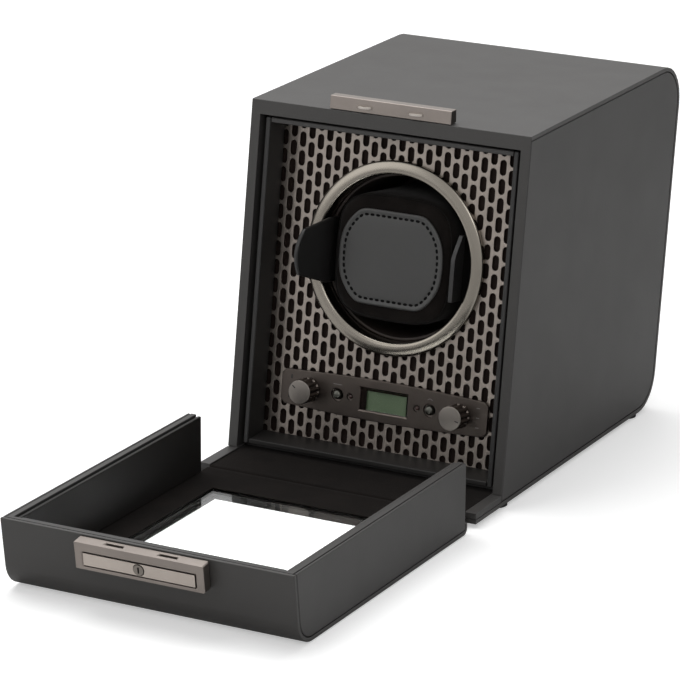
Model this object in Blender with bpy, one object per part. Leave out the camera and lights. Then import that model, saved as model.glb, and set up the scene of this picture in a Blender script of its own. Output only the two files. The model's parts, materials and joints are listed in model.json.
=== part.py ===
"""Single watch winder: a leaning leatherette case, a fold-down cover with a window, and a driven cuff.

Metres, +Z up. The front of the case faces -Y and the cover lies open on the table.
Three frames carry the pieces:
  case frame     y = 0 at the front of the ledge, z = 0 on the table
  opening frame  x across, y into the case, z up the leaning front, from the ledge
  cover frame    origin on the hinge line; the open cover reaches toward -y
"""
import math

import bmesh
import bpy
from mathutils import Matrix, Vector

# Driving sizes of the case
CASE_WIDTH = 0.150
CASE_HEIGHT = 0.1785
CASE_DEPTH = 0.179
LEAN_DEGREES = 8.15
BACK_RADIUS = 0.020
FOOT_HEIGHT = 0.002
FOOT_RADIUS = 0.006
FOOT_INSET = 0.0068
LEDGE_LENGTH = 0.028
LEDGE_TOP = 0.0075
WRAP = 0.002
SIDE_PANEL = 0.0015
PANEL_REVEAL = 0.0004
SIDE_WALL = 0.005
TOP_WALL = 0.007
BACK_WALL = 0.007

# Lining of the mouth
LINER = 0.0025
SIDE_GROOVE = 0.002
TOP_GROOVE = 0.0015
MOUTH_STEP = 0.008
LINER_SETBACK = 0.0023
SILL_LIFT = 0.0019

# Felt of the ledge and of the cover
FELT = 0.0015
FELT_DROP = 0.0006
LEDGE_RIM = 0.0061

# Clearances
SEAT = 0.0003
RUNNING = 0.0005
OVERRUN = 0.002

# Front plate and what sits on it
PLATE_DEPTH = 0.0185
PLATE = 0.001
HOLE_WIDTH = 0.0034
HOLE_LENGTH = 0.00765
HOLE_COLUMN = 0.00493
HOLE_PITCH = 0.00922
HOLE_SHIFT = 0.00113
HOLE_LIFT = 0.00121
HOLE_EDGE = 0.0012
BACKING = 0.002
DRUM_RISE_SHARE = 0.6133
BEZEL_WIDTH = 0.0067
BEZEL_PROUD = 0.0035
SLEEVE = 0.002
SLEEVE_LENGTH = 0.0055
BEZEL_SHARES = ((0.0, 0.15), (0.1, 0.02), (0.3, -0.02), (0.7, 0.04), (1.0, 0.15))

# Control panel
CONTROL_RISE_SHARE = 0.187
CONTROL_SIDE = 0.0185
CONTROL_HEIGHT = 0.0175
CONTROL_BOW = 0.0016
CONTROL_CORNER = 0.0022
CONTROL_PANEL = 0.0017
DISPLAY_SHARE = 0.2274
DISPLAY_HEIGHT = 0.0108
DISPLAY_LENS = 0.001
DISPLAY_SINK = 0.0004
DISPLAY_GAP = 0.00075
KNOB_SHARE = 0.728
KNOB_RADIUS = 0.0061
KNOB_LENGTH = 0.0098
KNOB_SHAFT = 0.0026
KNOB_FLUTE = 0.0005
BUTTON_SHARE = 0.4478
BUTTON_RADIUS = 0.0022
BUTTON_PROUD = 0.0014
BUTTON_TRAVEL = 0.0008
LIGHT_SHARE = 0.3239
LIGHT_RADIUS = 0.001
CUTOUT_LAP = 0.006
CUTOUT_HEIGHT = 0.0144
BOARD = 0.0016
BOARD_STANDOFF = 0.0084
BOARD_HEIGHT = 0.024
SPACER_RADIUS = 0.002
SELECTOR = 0.0116
SWITCH = 0.006
SWITCH_SETBACK = 0.002

# Drum and drive
DRIVE_ROOM = 0.109
HOUSING_WALL = 0.002
FLANGE_WIDTH = 0.0065
HOUSING_BASE = 0.003
BOSS_RADIUS = 0.010
BOSS_LENGTH = 0.012
BEARING_BORE = 0.0033
BEARING_RADIUS = 0.006
BEARING_LENGTH = 0.009
STRAP_ROOM = 0.00195
DRUM_WALL = 0.0016
DRUM_BASE = 0.0025
SHAFT_RADIUS = 0.003
SHAFT_HEAD = 0.006
SHAFT_HEAD_HEIGHT = 0.0017
PULLEY_STANDOFF = 0.0055
BRACKET_STANDOFF = 0.0026
PULLEY_RADIUS = 0.025
PULLEY_WIDTH = 0.006
PULLEY_FLANGE = 0.001
PULLEY_FLOOR = 0.0215
SMALL_PULLEY_RADIUS = 0.0065
SMALL_PULLEY_FLOOR = 0.0042
BELT = 0.0015
DRIVE_SPACING = 0.040
MOTOR_RADIUS = 0.012
MOTOR_LENGTH = 0.018
GEARBOX_LENGTH = 0.018
CAN_STEP = 0.0015
MOTOR_SHAFT = 0.0015
BRACKET = 0.002
BRACKET_HALF_WIDTH = 0.036
BRACKET_ABOVE = 0.016
POST_RADIUS = 0.003
POST_SPREAD = 0.032
POST_HIGH = 0.010
POST_LOW = 0.020

# Cuff
CUFF_WIDTH = 0.0652
CUFF_HEIGHT = 0.064
CUFF_ROUND_SHARE = 0.8238
CUFF_FRONT = 0.0133
CUFF_CROWN = 0.007
CROWN_SHARES = ((0.55, 0.0), (0.2, 0.13), (0.0, 0.55))
PATCH_SIDE = 0.0046
PATCH_END = 0.0085
PATCH_ROUND_SHARE = 0.785
PATCH = 0.0012
WING = 0.0022
WING_ROOT_DEPTH = 0.021
WING_PIVOT_DEPTH = 0.0185
WING_BEND_DEPTH = 0.0145
WING_FRONT_DEPTH = 0.0112
WING_TIP_DEPTH = -0.0085
WING_FLARE = 0.0066
WING_HALF_HEIGHT = 0.0162
WING_TIP_HALF_HEIGHT = 0.0107

# Cover
HINGE_Y = -0.0015
HINGE_Z = 0.0074
COVER_LIFT = 0.0003
COVER_GAP = 0.0005
COVER_END = 0.0072
COVER_END_RADIUS = 0.0035
COVER_RADIUS = 0.014
COVER_WALL = 0.0046
COVER_GROOVE = 0.0008
COVER_LINER = 0.0018
COVER_LINER_DROP = 0.0008
COVER_FLOOR = 0.0059
WINDOW_SIDE = 0.023
WINDOW_REAR = 0.0185
WINDOW_FRONT = 0.016
GLASS = 0.002
GLASS_LAP = 0.0025
REVEAL_LAP = 0.0015
SPINE_LENGTH = 0.0037
SPINE_BOTTOM = 0.002

# Latch and keeper
KEEPER_WIDTH = 0.065
KEEPER_HEIGHT = 0.0064
KEEPER_DEPTH = 0.006
HOOK_SPACING = 0.0274
HOOK_WIDTH = 0.008
HOOK_REACH = 0.0022
HOOK_THICKNESS = 0.0011
HOOK_CORNER_SHARE = 0.25
LATCH_WIDTH = 0.066
LATCH_HEIGHT = 0.0134
LATCH_PROUD = 0.0062
LATCH_DROP = 0.0008
SLOT_WIDTH = 0.0092
SLOT_HEIGHT = 0.0018
SLOT_DEPTH = 0.0035
PUSH_SIDE = 0.0041
PUSH_TOP = 0.0046
PUSH_BOTTOM = 0.002
PUSH_THICKNESS = 0.0017
PUSH_TRAVEL = 0.001
PUSH_SLIT = 0.0004
LOCK_RADIUS = 0.0026
LOCK_LENGTH = 0.005
KEYWAY_WIDTH = 0.0008
KEYWAY_LENGTH = 0.003
KEYWAY_DEPTH = 0.002
BORE_FLOOR = 0.0009

# Rear inlet
INLET_OFFSET = 0.040
INLET_RISE = 0.051
INLET_RADIUS = 0.006
INLET_BORE = 0.0035
INLET_FLANGE = 0.0078
INLET_FLANGE_THICKNESS = 0.0012
INLET_LENGTH = 0.014
INLET_SOCKET = 0.009

# Edge softening and facets
SOFT_EDGE = 0.0004
BLOCK_EDGE = 0.0005
ARC_STEPS = 8
POST_SEGMENTS = 12
SMALL_SEGMENTS = 20
ROUND_SEGMENTS = 40
BEZEL_SEGMENTS = 56

# Worked-out places
TILT = math.radians(LEAN_DEGREES)
SLOPE = math.tan(TILT)
HALF_WIDTH = CASE_WIDTH / 2
INNER_HALF = HALF_WIDTH - SIDE_PANEL - SEAT
MOUTH_HALF = HALF_WIDTH - SIDE_WALL
LINER_OUTER = MOUTH_HALF - SIDE_GROOVE
LINER_INNER = LINER_OUTER - LINER
CEILING = CASE_HEIGHT - TOP_WALL - TOP_GROOVE
SILL_TOP = LEDGE_TOP + SILL_LIFT + LINER
COVER_UNDER = COVER_LIFT - HINGE_Z
COVER_FLOOR_TOP = COVER_FLOOR - HINGE_Z
FELT_TOP = LEDGE_TOP - FELT_DROP
FELT_HALF = HALF_WIDTH - LEDGE_RIM
RIM_LIFT = (LEDGE_LENGTH - HINGE_Y) * math.cos(TILT) - (LEDGE_TOP - HINGE_Z) * math.sin(TILT) - COVER_GAP
LATCH_RUN = CASE_HEIGHT - HINGE_Z
WINDOW_WIDTH = CASE_WIDTH - 2 * WINDOW_SIDE
PUSH_WIDTH = LATCH_WIDTH - 2 * PUSH_SIDE
PATCH_WIDTH = CUFF_WIDTH - 2 * PATCH_SIDE
PATCH_HEIGHT = CUFF_HEIGHT - 2 * PATCH_END
PLATE_TOP = (CEILING - LEDGE_TOP + PLATE_DEPTH * math.sin(TILT)) / math.cos(TILT)
DRUM_RISE = PLATE_TOP * DRUM_RISE_SHARE
CONTROL_RISE = PLATE_TOP * CONTROL_RISE_SHARE
CONTROL_WIDTH = CASE_WIDTH - 2 * CONTROL_SIDE
CUTOUT_WIDTH = CONTROL_WIDTH - 2 * CUTOUT_LAP
DISPLAY_WIDTH = CONTROL_WIDTH * DISPLAY_SHARE
KNOB_SPACING = CONTROL_WIDTH * KNOB_SHARE
BUTTON_SPACING = CONTROL_WIDTH * BUTTON_SHARE
LIGHT_SPACING = CONTROL_WIDTH * LIGHT_SHARE
CUFF_REACH = CUFF_ROUND_SHARE * math.hypot(CUFF_WIDTH / 2, CUFF_HEIGHT / 2)
PATCH_REACH = PATCH_ROUND_SHARE * math.hypot(PATCH_WIDTH / 2, PATCH_HEIGHT / 2)
DRUM_BORE = CUFF_REACH + STRAP_ROOM
BEZEL_BORE = DRUM_BORE + DRUM_WALL
BEZEL_RADIUS = BEZEL_BORE + BEZEL_WIDTH
HOUSING_BORE = BEZEL_BORE + SLEEVE + SEAT
HOUSING_FLANGE = HOUSING_BORE + FLANGE_WIDTH
HOUSING_DEPTH = CASE_DEPTH - DRIVE_ROOM
PANEL_FRONT = PLATE_DEPTH - SEAT - CONTROL_PANEL
BACKING_DEPTH = PLATE_DEPTH + PLATE + SEAT
HOUSING_FRONT = BACKING_DEPTH + BACKING + SEAT
HOUSING_BACK = HOUSING_FRONT + HOUSING_DEPTH
BOARD_DEPTH = BACKING_DEPTH + BACKING + BOARD_STANDOFF
DRUM_FRONT = PLATE_DEPTH + SLEEVE_LENGTH + RUNNING
DRUM_BACK = HOUSING_BACK - BOSS_LENGTH + HOUSING_BASE
SHAFT_HEAD_FRONT = DRUM_BACK - DRUM_BASE - SEAT - SHAFT_HEAD_HEIGHT
PULLEY_FRONT = HOUSING_BACK + HOUSING_BASE + PULLEY_STANDOFF
PULLEY_BACK = PULLEY_FRONT + PULLEY_WIDTH
BRACKET_DEPTH = PULLEY_BACK + BRACKET_STANDOFF
BELT_WIDTH = PULLEY_WIDTH - 2 * PULLEY_FLANGE - 2 * SEAT


# Drawing helpers

def front_at(z, depth=0.0):
    """Y of a plane that leans with the opening, depth behind it, at height z."""
    return LEDGE_LENGTH + (z - LEDGE_TOP) * SLOPE + depth / math.cos(TILT)


def back_at(z, inset=0.0):
    """Y of the leaning back, moved in by inset."""
    return front_at(z) + CASE_DEPTH - inset / math.cos(TILT)


def case_section(inset, front, bottom=None, top=None):
    """Corners of the case's side view, inset from top, back and bottom, and front behind the opening."""
    low = FOOT_HEIGHT + inset if bottom is None else bottom
    high = CASE_HEIGHT - inset if top is None else top
    return [
        (front_at(low, front), low),
        (back_at(low, inset), low),
        (back_at(high, inset), high),
        (front_at(high, front), high),
    ]


def slab(near, far, low, high):
    """Side view of what lies between two leaning planes and two heights."""
    return [
        (front_at(low, near), low),
        (front_at(low, far), low),
        (front_at(high, far), high),
        (front_at(high, near), high),
    ]


def rounded(points, radii):
    """The outline with each corner replaced by an arc of its own radius."""
    outline = []
    count = len(points)
    for index, radius in enumerate(radii):
        corner = Vector(points[index])
        if radius <= 0:
            outline.append(tuple(corner))
            continue
        before = (Vector(points[index - 1]) - corner).normalized()
        after = (Vector(points[(index + 1) % count]) - corner).normalized()
        half = before.angle(after) / 2
        centre = corner + (before + after).normalized() * (radius / math.sin(half))
        start = corner + before * (radius / math.tan(half)) - centre
        end = corner + after * (radius / math.tan(half)) - centre
        sweep = start.angle_signed(end)
        for step in range(ARC_STEPS + 1):
            turn = Matrix.Rotation(-sweep * step / ARC_STEPS, 2)
            outline.append(tuple(centre + turn @ start))
    return outline


def rectangle(half_width, low, high):
    """A box outline, even about zero across."""
    return [(-half_width, low), (half_width, low), (half_width, high), (-half_width, high)]


def circle(radius, segments, across=0.0, up=0.0):
    """A round outline."""
    turn = 2 * math.pi / segments
    return [(across + radius * math.cos(turn * i), up + radius * math.sin(turn * i)) for i in range(segments)]


def barrel(radius, half_width, half_height):
    """A circle cut flat at its sides, top and bottom."""
    return [
        (max(-half_width, min(half_width, x)), max(-half_height, min(half_height, z)))
        for x, z in circle(radius, BEZEL_SEGMENTS)
    ]


# Building helpers

def empty(name, parent=None, matrix=None):
    """A frame that carries pieces."""
    frame = bpy.data.objects.new(name, None)
    bpy.context.scene.collection.objects.link(frame)
    frame.parent = parent
    frame.matrix_local = matrix or Matrix.Identity(4)
    return frame


def add_object(name, bm, parent, location=(0, 0, 0)):
    """An object made from a finished bmesh."""
    bmesh.ops.recalc_face_normals(bm, faces=bm.faces[:])
    mesh = bpy.data.meshes.new(name)
    bm.to_mesh(mesh)
    bm.free()
    piece = bpy.data.objects.new(name, mesh)
    bpy.context.scene.collection.objects.link(piece)
    piece.parent = parent
    piece.location = location
    return piece


def on_axis(axis, point, along):
    """A drawing point placed in space: the drawing plane is square to the axis."""
    first, second = point
    return {"X": (along, first, second), "Y": (first, along, second), "Z": (first, second, along)}[axis]


def extrusion(outline, axis, start, end, holes=()):
    """A closed prism of an outline, with holes through it."""
    bm = bmesh.new()
    edges = []
    for loop in [outline, *holes]:
        corners = [bm.verts.new(on_axis(axis, point, start)) for point in loop]
        edges += [bm.edges.new((corners[i - 1], corner)) for i, corner in enumerate(corners)]
    if holes:
        bmesh.ops.triangle_fill(bm, use_beauty=True, use_dissolve=False, edges=edges)
    else:
        bmesh.ops.contextual_create(bm, geom=edges)
    grown = bmesh.ops.extrude_face_region(bm, geom=bm.faces[:])["geom"]
    shift = Vector(on_axis(axis, (0, 0), end - start))
    bmesh.ops.translate(bm, vec=shift, verts=[item for item in grown if isinstance(item, bmesh.types.BMVert)])
    return bm


def turning(profile, segments):
    """A closed profile of (radius, depth) points turned about the local Y axis."""
    bm = bmesh.new()
    ring = [bm.verts.new((radius, depth, 0)) for radius, depth in profile]
    for index, corner in enumerate(ring):
        previous = ring[index - 1]
        if corner.co.x > 0 or previous.co.x > 0:
            bm.edges.new((previous, corner))
    geometry = bm.verts[:] + bm.edges[:]
    bmesh.ops.spin(bm, geom=geometry, cent=(0, 0, 0), axis=(0, 1, 0), angle=2 * math.pi, steps=segments)
    bmesh.ops.remove_doubles(bm, verts=bm.verts[:], dist=SEAT / 100)
    return bm


def loft(sections):
    """A closed solid through outlines of equal count, each given with its depth along Y."""
    bm = bmesh.new()
    rings = [[bm.verts.new((x, depth, z)) for x, z in outline] for outline, depth in sections]
    for near, far in zip(rings, rings[1:]):
        for index in range(len(near)):
            bm.faces.new((near[index - 1], near[index], far[index], far[index - 1]))
    bm.faces.new(rings[0])
    bm.faces.new(rings[-1])
    return bm


def look(piece, colour, roughness, metallic=0.0):
    """The piece's own material."""
    material = bpy.data.materials.new(piece.name)
    material.use_nodes = True
    shader = material.node_tree.nodes["Principled BSDF"]
    shader.inputs["Base Color"].default_value = (*colour, 1)
    shader.inputs["Roughness"].default_value = roughness
    shader.inputs["Metallic"].default_value = metallic
    piece.data.materials.append(material)
    return piece


def soften(piece, width=SOFT_EDGE):
    """A small bevel on sharp edges."""
    bevel = piece.modifiers.new("edge", "BEVEL")
    bevel.width = width
    bevel.segments = 1
    bevel.limit_method = "ANGLE"
    bevel.angle_limit = math.radians(50)
    bevel.use_clamp_overlap = True
    return piece


def smooth(piece):
    """Smooth shading with crisp corners."""
    piece.data.shade_smooth()
    piece.data.set_sharp_from_angle(angle=math.radians(35))
    return piece


def combine(piece, tool, operation="DIFFERENCE"):
    """Cut the tool out of the piece, or join it on, and hide the tool."""
    tool.hide_render = True
    tool.display_type = "WIRE"
    boolean = piece.modifiers.new(tool.name, "BOOLEAN")
    boolean.operation = operation
    boolean.solver = "EXACT"
    boolean.object = tool
    return piece


LEATHERETTE = ((0.045, 0.045, 0.044), 0.5)
SIDE_LEATHERETTE = ((0.035, 0.036, 0.036), 0.48)
FELT_LOOK = ((0.012, 0.011, 0.010), 0.95)
GUNMETAL = ((0.30, 0.27, 0.24), 0.32, 1.0)
PEWTER = ((0.55, 0.51, 0.46), 0.22, 1.0)
LATCH_METAL = ((0.42, 0.38, 0.36), 0.35, 1.0)
STEEL = ((0.55, 0.55, 0.56), 0.3, 1.0)
BLACK_PLASTIC = ((0.02, 0.02, 0.02), 0.5)
CUFF_LOOK = ((0.018, 0.018, 0.018), 0.8)


# Case

def case_wrap(case):
    """Leatherette-covered band over the top, back and bottom, running out under the ledge."""
    low = FOOT_HEIGHT
    high = CASE_HEIGHT
    outer = [(0, low), (back_at(low), low), (back_at(high), high), (front_at(high), high)]
    inner_low = low + WRAP
    inner_high = high - WRAP
    inner = [
        (front_at(inner_high), inner_high),
        (back_at(inner_high, WRAP), inner_high),
        (back_at(inner_low, WRAP), inner_low),
        (0, inner_low),
    ]
    radii = [0, BACK_RADIUS, BACK_RADIUS, 0, 0, BACK_RADIUS - WRAP, BACK_RADIUS - WRAP, 0]
    bm = extrusion(rounded(outer + inner, radii), "X", -HALF_WIDTH, HALF_WIDTH)
    return look(smooth(add_object("case_wrap", bm, case)), *LEATHERETTE)


def case_carcass(case):
    """Board box inside the wrap, open at the front, stepped in behind the mouth."""
    radius = BACK_RADIUS - WRAP - SEAT
    outline = rounded(case_section(WRAP + SEAT, 0), [0, radius, radius, 0])
    carcass = add_object("case_carcass", extrusion(outline, "X", -INNER_HALF, INNER_HALF), case)
    mouth = slab(-OVERRUN, MOUTH_STEP, LEDGE_TOP, CASE_HEIGHT - TOP_WALL)
    combine(carcass, add_object("mouth_cut", extrusion(mouth, "X", -MOUTH_HALF, MOUTH_HALF), case))
    inner_back = CASE_DEPTH * math.cos(TILT) - BACK_WALL
    room = slab(MOUTH_STEP - OVERRUN, inner_back, LEDGE_TOP + SILL_LIFT - SEAT, CEILING + SEAT)
    room_half = LINER_OUTER + SEAT
    combine(carcass, add_object("room_cut", extrusion(room, "X", -room_half, room_half), case))
    felt_floor = FELT_TOP - FELT - SEAT
    recess = slab(-OVERRUN, MOUTH_STEP + SEAT, felt_floor, LEDGE_TOP + OVERRUN)
    combine(carcass, add_object("recess_cut", extrusion(recess, "X", -FELT_HALF - SEAT, FELT_HALF + SEAT), case))
    return look(smooth(carcass), (0.03, 0.03, 0.03), 0.6)


def side_panels(case):
    """Inlaid side boards, seen inside the wrap's edge."""
    inset = WRAP + PANEL_REVEAL
    radius = BACK_RADIUS - inset
    outline = rounded(case_section(inset, PANEL_REVEAL), [0, radius, radius, 0])
    for side, name in ((-1, "side_panel_left"), (1, "side_panel_right")):
        near = side * (HALF_WIDTH - SIDE_PANEL)
        far = side * HALF_WIDTH
        panel = add_object(name, extrusion(outline, "X", near, far), case)
        look(smooth(soften(panel)), *SIDE_LEATHERETTE)


def ledge(case):
    """Board in front of the mouth, with its felt laid in between two rims."""
    low = FOOT_HEIGHT + WRAP + SEAT
    outline = [(0, low), (front_at(low, -SEAT), low), (front_at(LEDGE_TOP, -SEAT), LEDGE_TOP), (0, LEDGE_TOP)]
    board = add_object("ledge_board", extrusion(outline, "X", -HALF_WIDTH, HALF_WIDTH), case)
    felt_floor = FELT_TOP - FELT - SEAT
    length = (-OVERRUN, LEDGE_LENGTH + OVERRUN)
    cut = rectangle(FELT_HALF + SEAT, *length)
    combine(board, add_object("ledge_cut", extrusion(cut, "Z", felt_floor, LEDGE_TOP + OVERRUN), case))
    look(board, *SIDE_LEATHERETTE)

    low = FELT_TOP - FELT
    back = front_at(low, MOUTH_STEP - SEAT)
    top_back = front_at(FELT_TOP, MOUTH_STEP - SEAT)
    front = HINGE_Y + SEAT
    outline = [(front, low), (back, low), (top_back, FELT_TOP), (front, FELT_TOP)]
    felt = add_object("ledge_felt", extrusion(outline, "X", -FELT_HALF, FELT_HALF), case)
    look(felt, *FELT_LOOK)

    spine_top = FELT_TOP - FELT - SEAT
    outline = [
        (-SEAT - SPINE_LENGTH, SPINE_BOTTOM),
        (-SEAT, SPINE_BOTTOM),
        (-SEAT, spine_top),
        (-SEAT - SPINE_LENGTH, spine_top),
    ]
    spine = add_object("hinge_spine", extrusion(outline, "X", -FELT_HALF, FELT_HALF), case)
    look(soften(spine), *SIDE_LEATHERETTE)


def feet(case):
    """Four round pads under the wrap."""
    front = LEDGE_LENGTH + FOOT_INSET
    rear = back_at(FOOT_HEIGHT) - BACK_RADIUS
    places = {
        "foot_front_left": (FOOT_INSET - HALF_WIDTH, front),
        "foot_front_right": (HALF_WIDTH - FOOT_INSET, front),
        "foot_rear_left": (FOOT_INSET - HALF_WIDTH, rear),
        "foot_rear_right": (HALF_WIDTH - FOOT_INSET, rear),
    }
    for name, (x, y) in places.items():
        bm = extrusion(circle(FOOT_RADIUS, SMALL_SEGMENTS), "Z", 0, FOOT_HEIGHT - SEAT)
        look(smooth(add_object(name, bm, case, (x, y, 0))), (0.015, 0.015, 0.015), 0.85)


def mouth_liners(case):
    """Four lining boards that frame the front plate."""
    near = LINER_SETBACK
    far = PLATE_DEPTH - SEAT
    side = slab(near, far, SILL_TOP - LINER, CEILING)
    for sign, name in ((-1, "liner_left"), (1, "liner_right")):
        bm = extrusion(side, "X", sign * LINER_INNER, sign * LINER_OUTER)
        look(soften(add_object(name, bm, case)), *SIDE_LEATHERETTE)
    reach = LINER_INNER - SEAT
    top = slab(near, far, CEILING - LINER, CEILING)
    look(soften(add_object("liner_top", extrusion(top, "X", -reach, reach), case)), *SIDE_LEATHERETTE)
    sill = slab(near, far, SILL_TOP - LINER, SILL_TOP)
    look(soften(add_object("liner_sill", extrusion(sill, "X", -reach, reach), case)), *SIDE_LEATHERETTE)


def keeper(case):
    """Bar on the case's top edge with two hooks that enter the latch."""
    low = CASE_HEIGHT + SEAT
    high = low + KEEPER_HEIGHT
    bar_outline = [
        (front_at(low), low),
        (front_at(low) + KEEPER_DEPTH, low),
        (front_at(low) + KEEPER_DEPTH, high),
        (front_at(high), high),
    ]
    half = KEEPER_WIDTH / 2
    bar = add_object("keeper_bar", extrusion(bar_outline, "X", -half, half), case)
    hook_low = CASE_HEIGHT + LATCH_PROUD / 2 - HOOK_THICKNESS / 2
    hook_top = hook_low + HOOK_THICKNESS
    root = front_at(hook_low) + HOOK_REACH
    tip = front_at(hook_low) - HOOK_REACH
    for sign, name in ((-1, "hook_add_left"), (1, "hook_add_right")):
        centre = sign * HOOK_SPACING / 2
        corner = HOOK_WIDTH * HOOK_CORNER_SHARE
        outline = [
            (centre - HOOK_WIDTH / 2, root),
            (centre - HOOK_WIDTH / 2, tip + corner),
            (centre - corner, tip),
            (centre + corner, tip),
            (centre + HOOK_WIDTH / 2, tip + corner),
            (centre + HOOK_WIDTH / 2, root),
        ]
        combine(bar, add_object(name, extrusion(outline, "Z", hook_low, hook_top), case), "UNION")
    look(bar, *LATCH_METAL)


def power_inlet(opening):
    """Low-voltage socket through the back wall."""
    outside = CASE_DEPTH * math.cos(TILT)
    front = outside - INLET_LENGTH
    rear = outside + INLET_FLANGE_THICKNESS
    profile = [
        (INLET_BORE, rear),
        (INLET_BORE, rear - INLET_SOCKET),
        (0, rear - INLET_SOCKET),
        (0, front),
        (INLET_RADIUS, front),
        (INLET_RADIUS, outside + SEAT),
        (INLET_FLANGE, outside + SEAT),
        (INLET_FLANGE, rear),
    ]
    place = (INLET_OFFSET, 0, INLET_RISE)
    inlet = add_object("power_inlet", turning(profile, SMALL_SEGMENTS), opening, place)
    look(smooth(inlet), *BLACK_PLASTIC)
    bore = circle(INLET_RADIUS + SEAT, SMALL_SEGMENTS)
    cutter = add_object("inlet_cut", extrusion(bore, "Y", front, rear + OVERRUN), opening, place)
    combine(bpy.data.objects["case_wrap"], cutter)
    combine(bpy.data.objects["case_carcass"], cutter)


# Front plate and bezel

def stagger_holes(low, high, half_width):
    """Long six-sided holes in offset columns, clear of the bezel and the control panel."""
    columns = int(half_width / HOLE_COLUMN)
    rows = int((high - low) / HOLE_PITCH) + 1
    half = HOLE_LENGTH / 2
    side = HOLE_WIDTH / 2
    bore_keep = HOUSING_BORE + HOLE_WIDTH / 2 + HOLE_EDGE / 2
    control_keep = CONTROL_WIDTH / 2
    holes = []
    for column in range(-columns, columns + 1):
        offset = HOLE_PITCH / 2 if column % 2 else 0.0
        for row in range(rows):
            x = column * HOLE_COLUMN - HOLE_SHIFT
            z = low + HOLE_LIFT + offset + (row + 1 / 2) * HOLE_PITCH
            if z + half > high - HOLE_EDGE or abs(x) + side > half_width - HOLE_EDGE:
                continue
            nearest = max(abs(z - DRUM_RISE) - half, 0)
            under_bezel = math.hypot(x, nearest) < bore_keep
            beside_control = abs(z - CONTROL_RISE) < CONTROL_HEIGHT / 2 and abs(x) < control_keep
            near_cutout = abs(z - CONTROL_RISE) < CUTOUT_HEIGHT / 2 + half + HOLE_EDGE / 2
            if under_bezel or beside_control or (near_cutout and abs(x) < CUTOUT_WIDTH / 2 + HOLE_WIDTH):
                continue
            holes.append([
                (x - side, z - half + side),
                (x, z - half),
                (x + side, z - half + side),
                (x + side, z + half - side),
                (x, z + half),
                (x - side, z + half - side),
            ])
    return holes


def plate_limits(depth):
    """Lowest and highest place up the front that a sheet at this depth reaches inside the case."""
    low = (SILL_LIFT + depth * math.sin(TILT)) / math.cos(TILT)
    high = (CEILING - LEDGE_TOP + depth * math.sin(TILT)) / math.cos(TILT)
    return low + SEAT, high - SEAT


def sheets(opening):
    """Perforated metal plate with a black backing sheet behind it."""
    round_hole = circle(HOUSING_BORE, ROUND_SEGMENTS, 0, DRUM_RISE)
    cutout_low = CONTROL_RISE - CUTOUT_HEIGHT / 2
    cutout = rectangle(CUTOUT_WIDTH / 2, cutout_low, cutout_low + CUTOUT_HEIGHT)
    low, high = plate_limits(PLATE_DEPTH)
    holes = stagger_holes(low, high, LINER_OUTER)
    outline = rectangle(LINER_OUTER, low, high)
    bm = extrusion(outline, "Y", PLATE_DEPTH, PLATE_DEPTH + PLATE, [round_hole, cutout, *holes])
    look(add_object("faceplate", bm, opening), *GUNMETAL)
    low, high = plate_limits(BACKING_DEPTH)
    outline = rectangle(LINER_OUTER, low, high)
    bm = extrusion(outline, "Y", BACKING_DEPTH, BACKING_DEPTH + BACKING, [round_hole, cutout])
    look(add_object("backing_panel", bm, opening), *BLACK_PLASTIC)


def ring_bezel(drum_frame):
    """Domed metal ring with a sleeve through the plate."""
    face = PLATE_DEPTH - SEAT
    crown = PLATE_DEPTH - BEZEL_PROUD
    width = BEZEL_RADIUS - BEZEL_BORE
    dome = [(BEZEL_BORE + width * out, crown + width * back) for out, back in BEZEL_SHARES]
    profile = [
        (BEZEL_BORE, PLATE_DEPTH + SLEEVE_LENGTH),
        *dome,
        (BEZEL_RADIUS, face),
        (BEZEL_BORE + SLEEVE, face),
        (BEZEL_BORE + SLEEVE, PLATE_DEPTH + SLEEVE_LENGTH),
    ]
    bezel = add_object("ring_bezel", turning(profile, BEZEL_SEGMENTS), drum_frame)
    look(smooth(bezel), *PEWTER)


# Controls

def control_outline():
    """Long panel whose top and bottom edges bow outward."""
    half = CONTROL_WIDTH / 2
    rise = CONTROL_HEIGHT / 2
    shares = [index / ARC_STEPS for index in range(ARC_STEPS + 1)]
    corner = CONTROL_CORNER
    span = 2 * (half - corner)
    top = [(half - corner - share * span, rise + CONTROL_BOW * math.sin(math.pi * share)) for share in shares]
    bottom = [(x, -z) for x, z in reversed(top)]
    left = [(-half, rise - corner), (-half, corner - rise)]
    right = [(half, corner - rise), (half, rise - corner)]
    return top + left + bottom + right


def control_panel(controls):
    """Metal panel with openings for the display, knobs, buttons and lights."""
    half_display = DISPLAY_WIDTH / 2
    holes = [rectangle(half_display, -DISPLAY_HEIGHT / 2, DISPLAY_HEIGHT / 2)]
    round_holes = (
        (KNOB_SPACING / 2, KNOB_SHAFT),
        (BUTTON_SPACING / 2, BUTTON_RADIUS),
        (LIGHT_SPACING / 2, LIGHT_RADIUS),
    )
    for place, radius in round_holes:
        for sign in (-1, 1):
            holes.append(circle(radius + SEAT, SMALL_SEGMENTS, sign * place))
    bm = extrusion(control_outline(), "Y", PANEL_FRONT, PANEL_FRONT + CONTROL_PANEL, holes)
    look(add_object("control_panel", bm, controls), *GUNMETAL)


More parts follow.
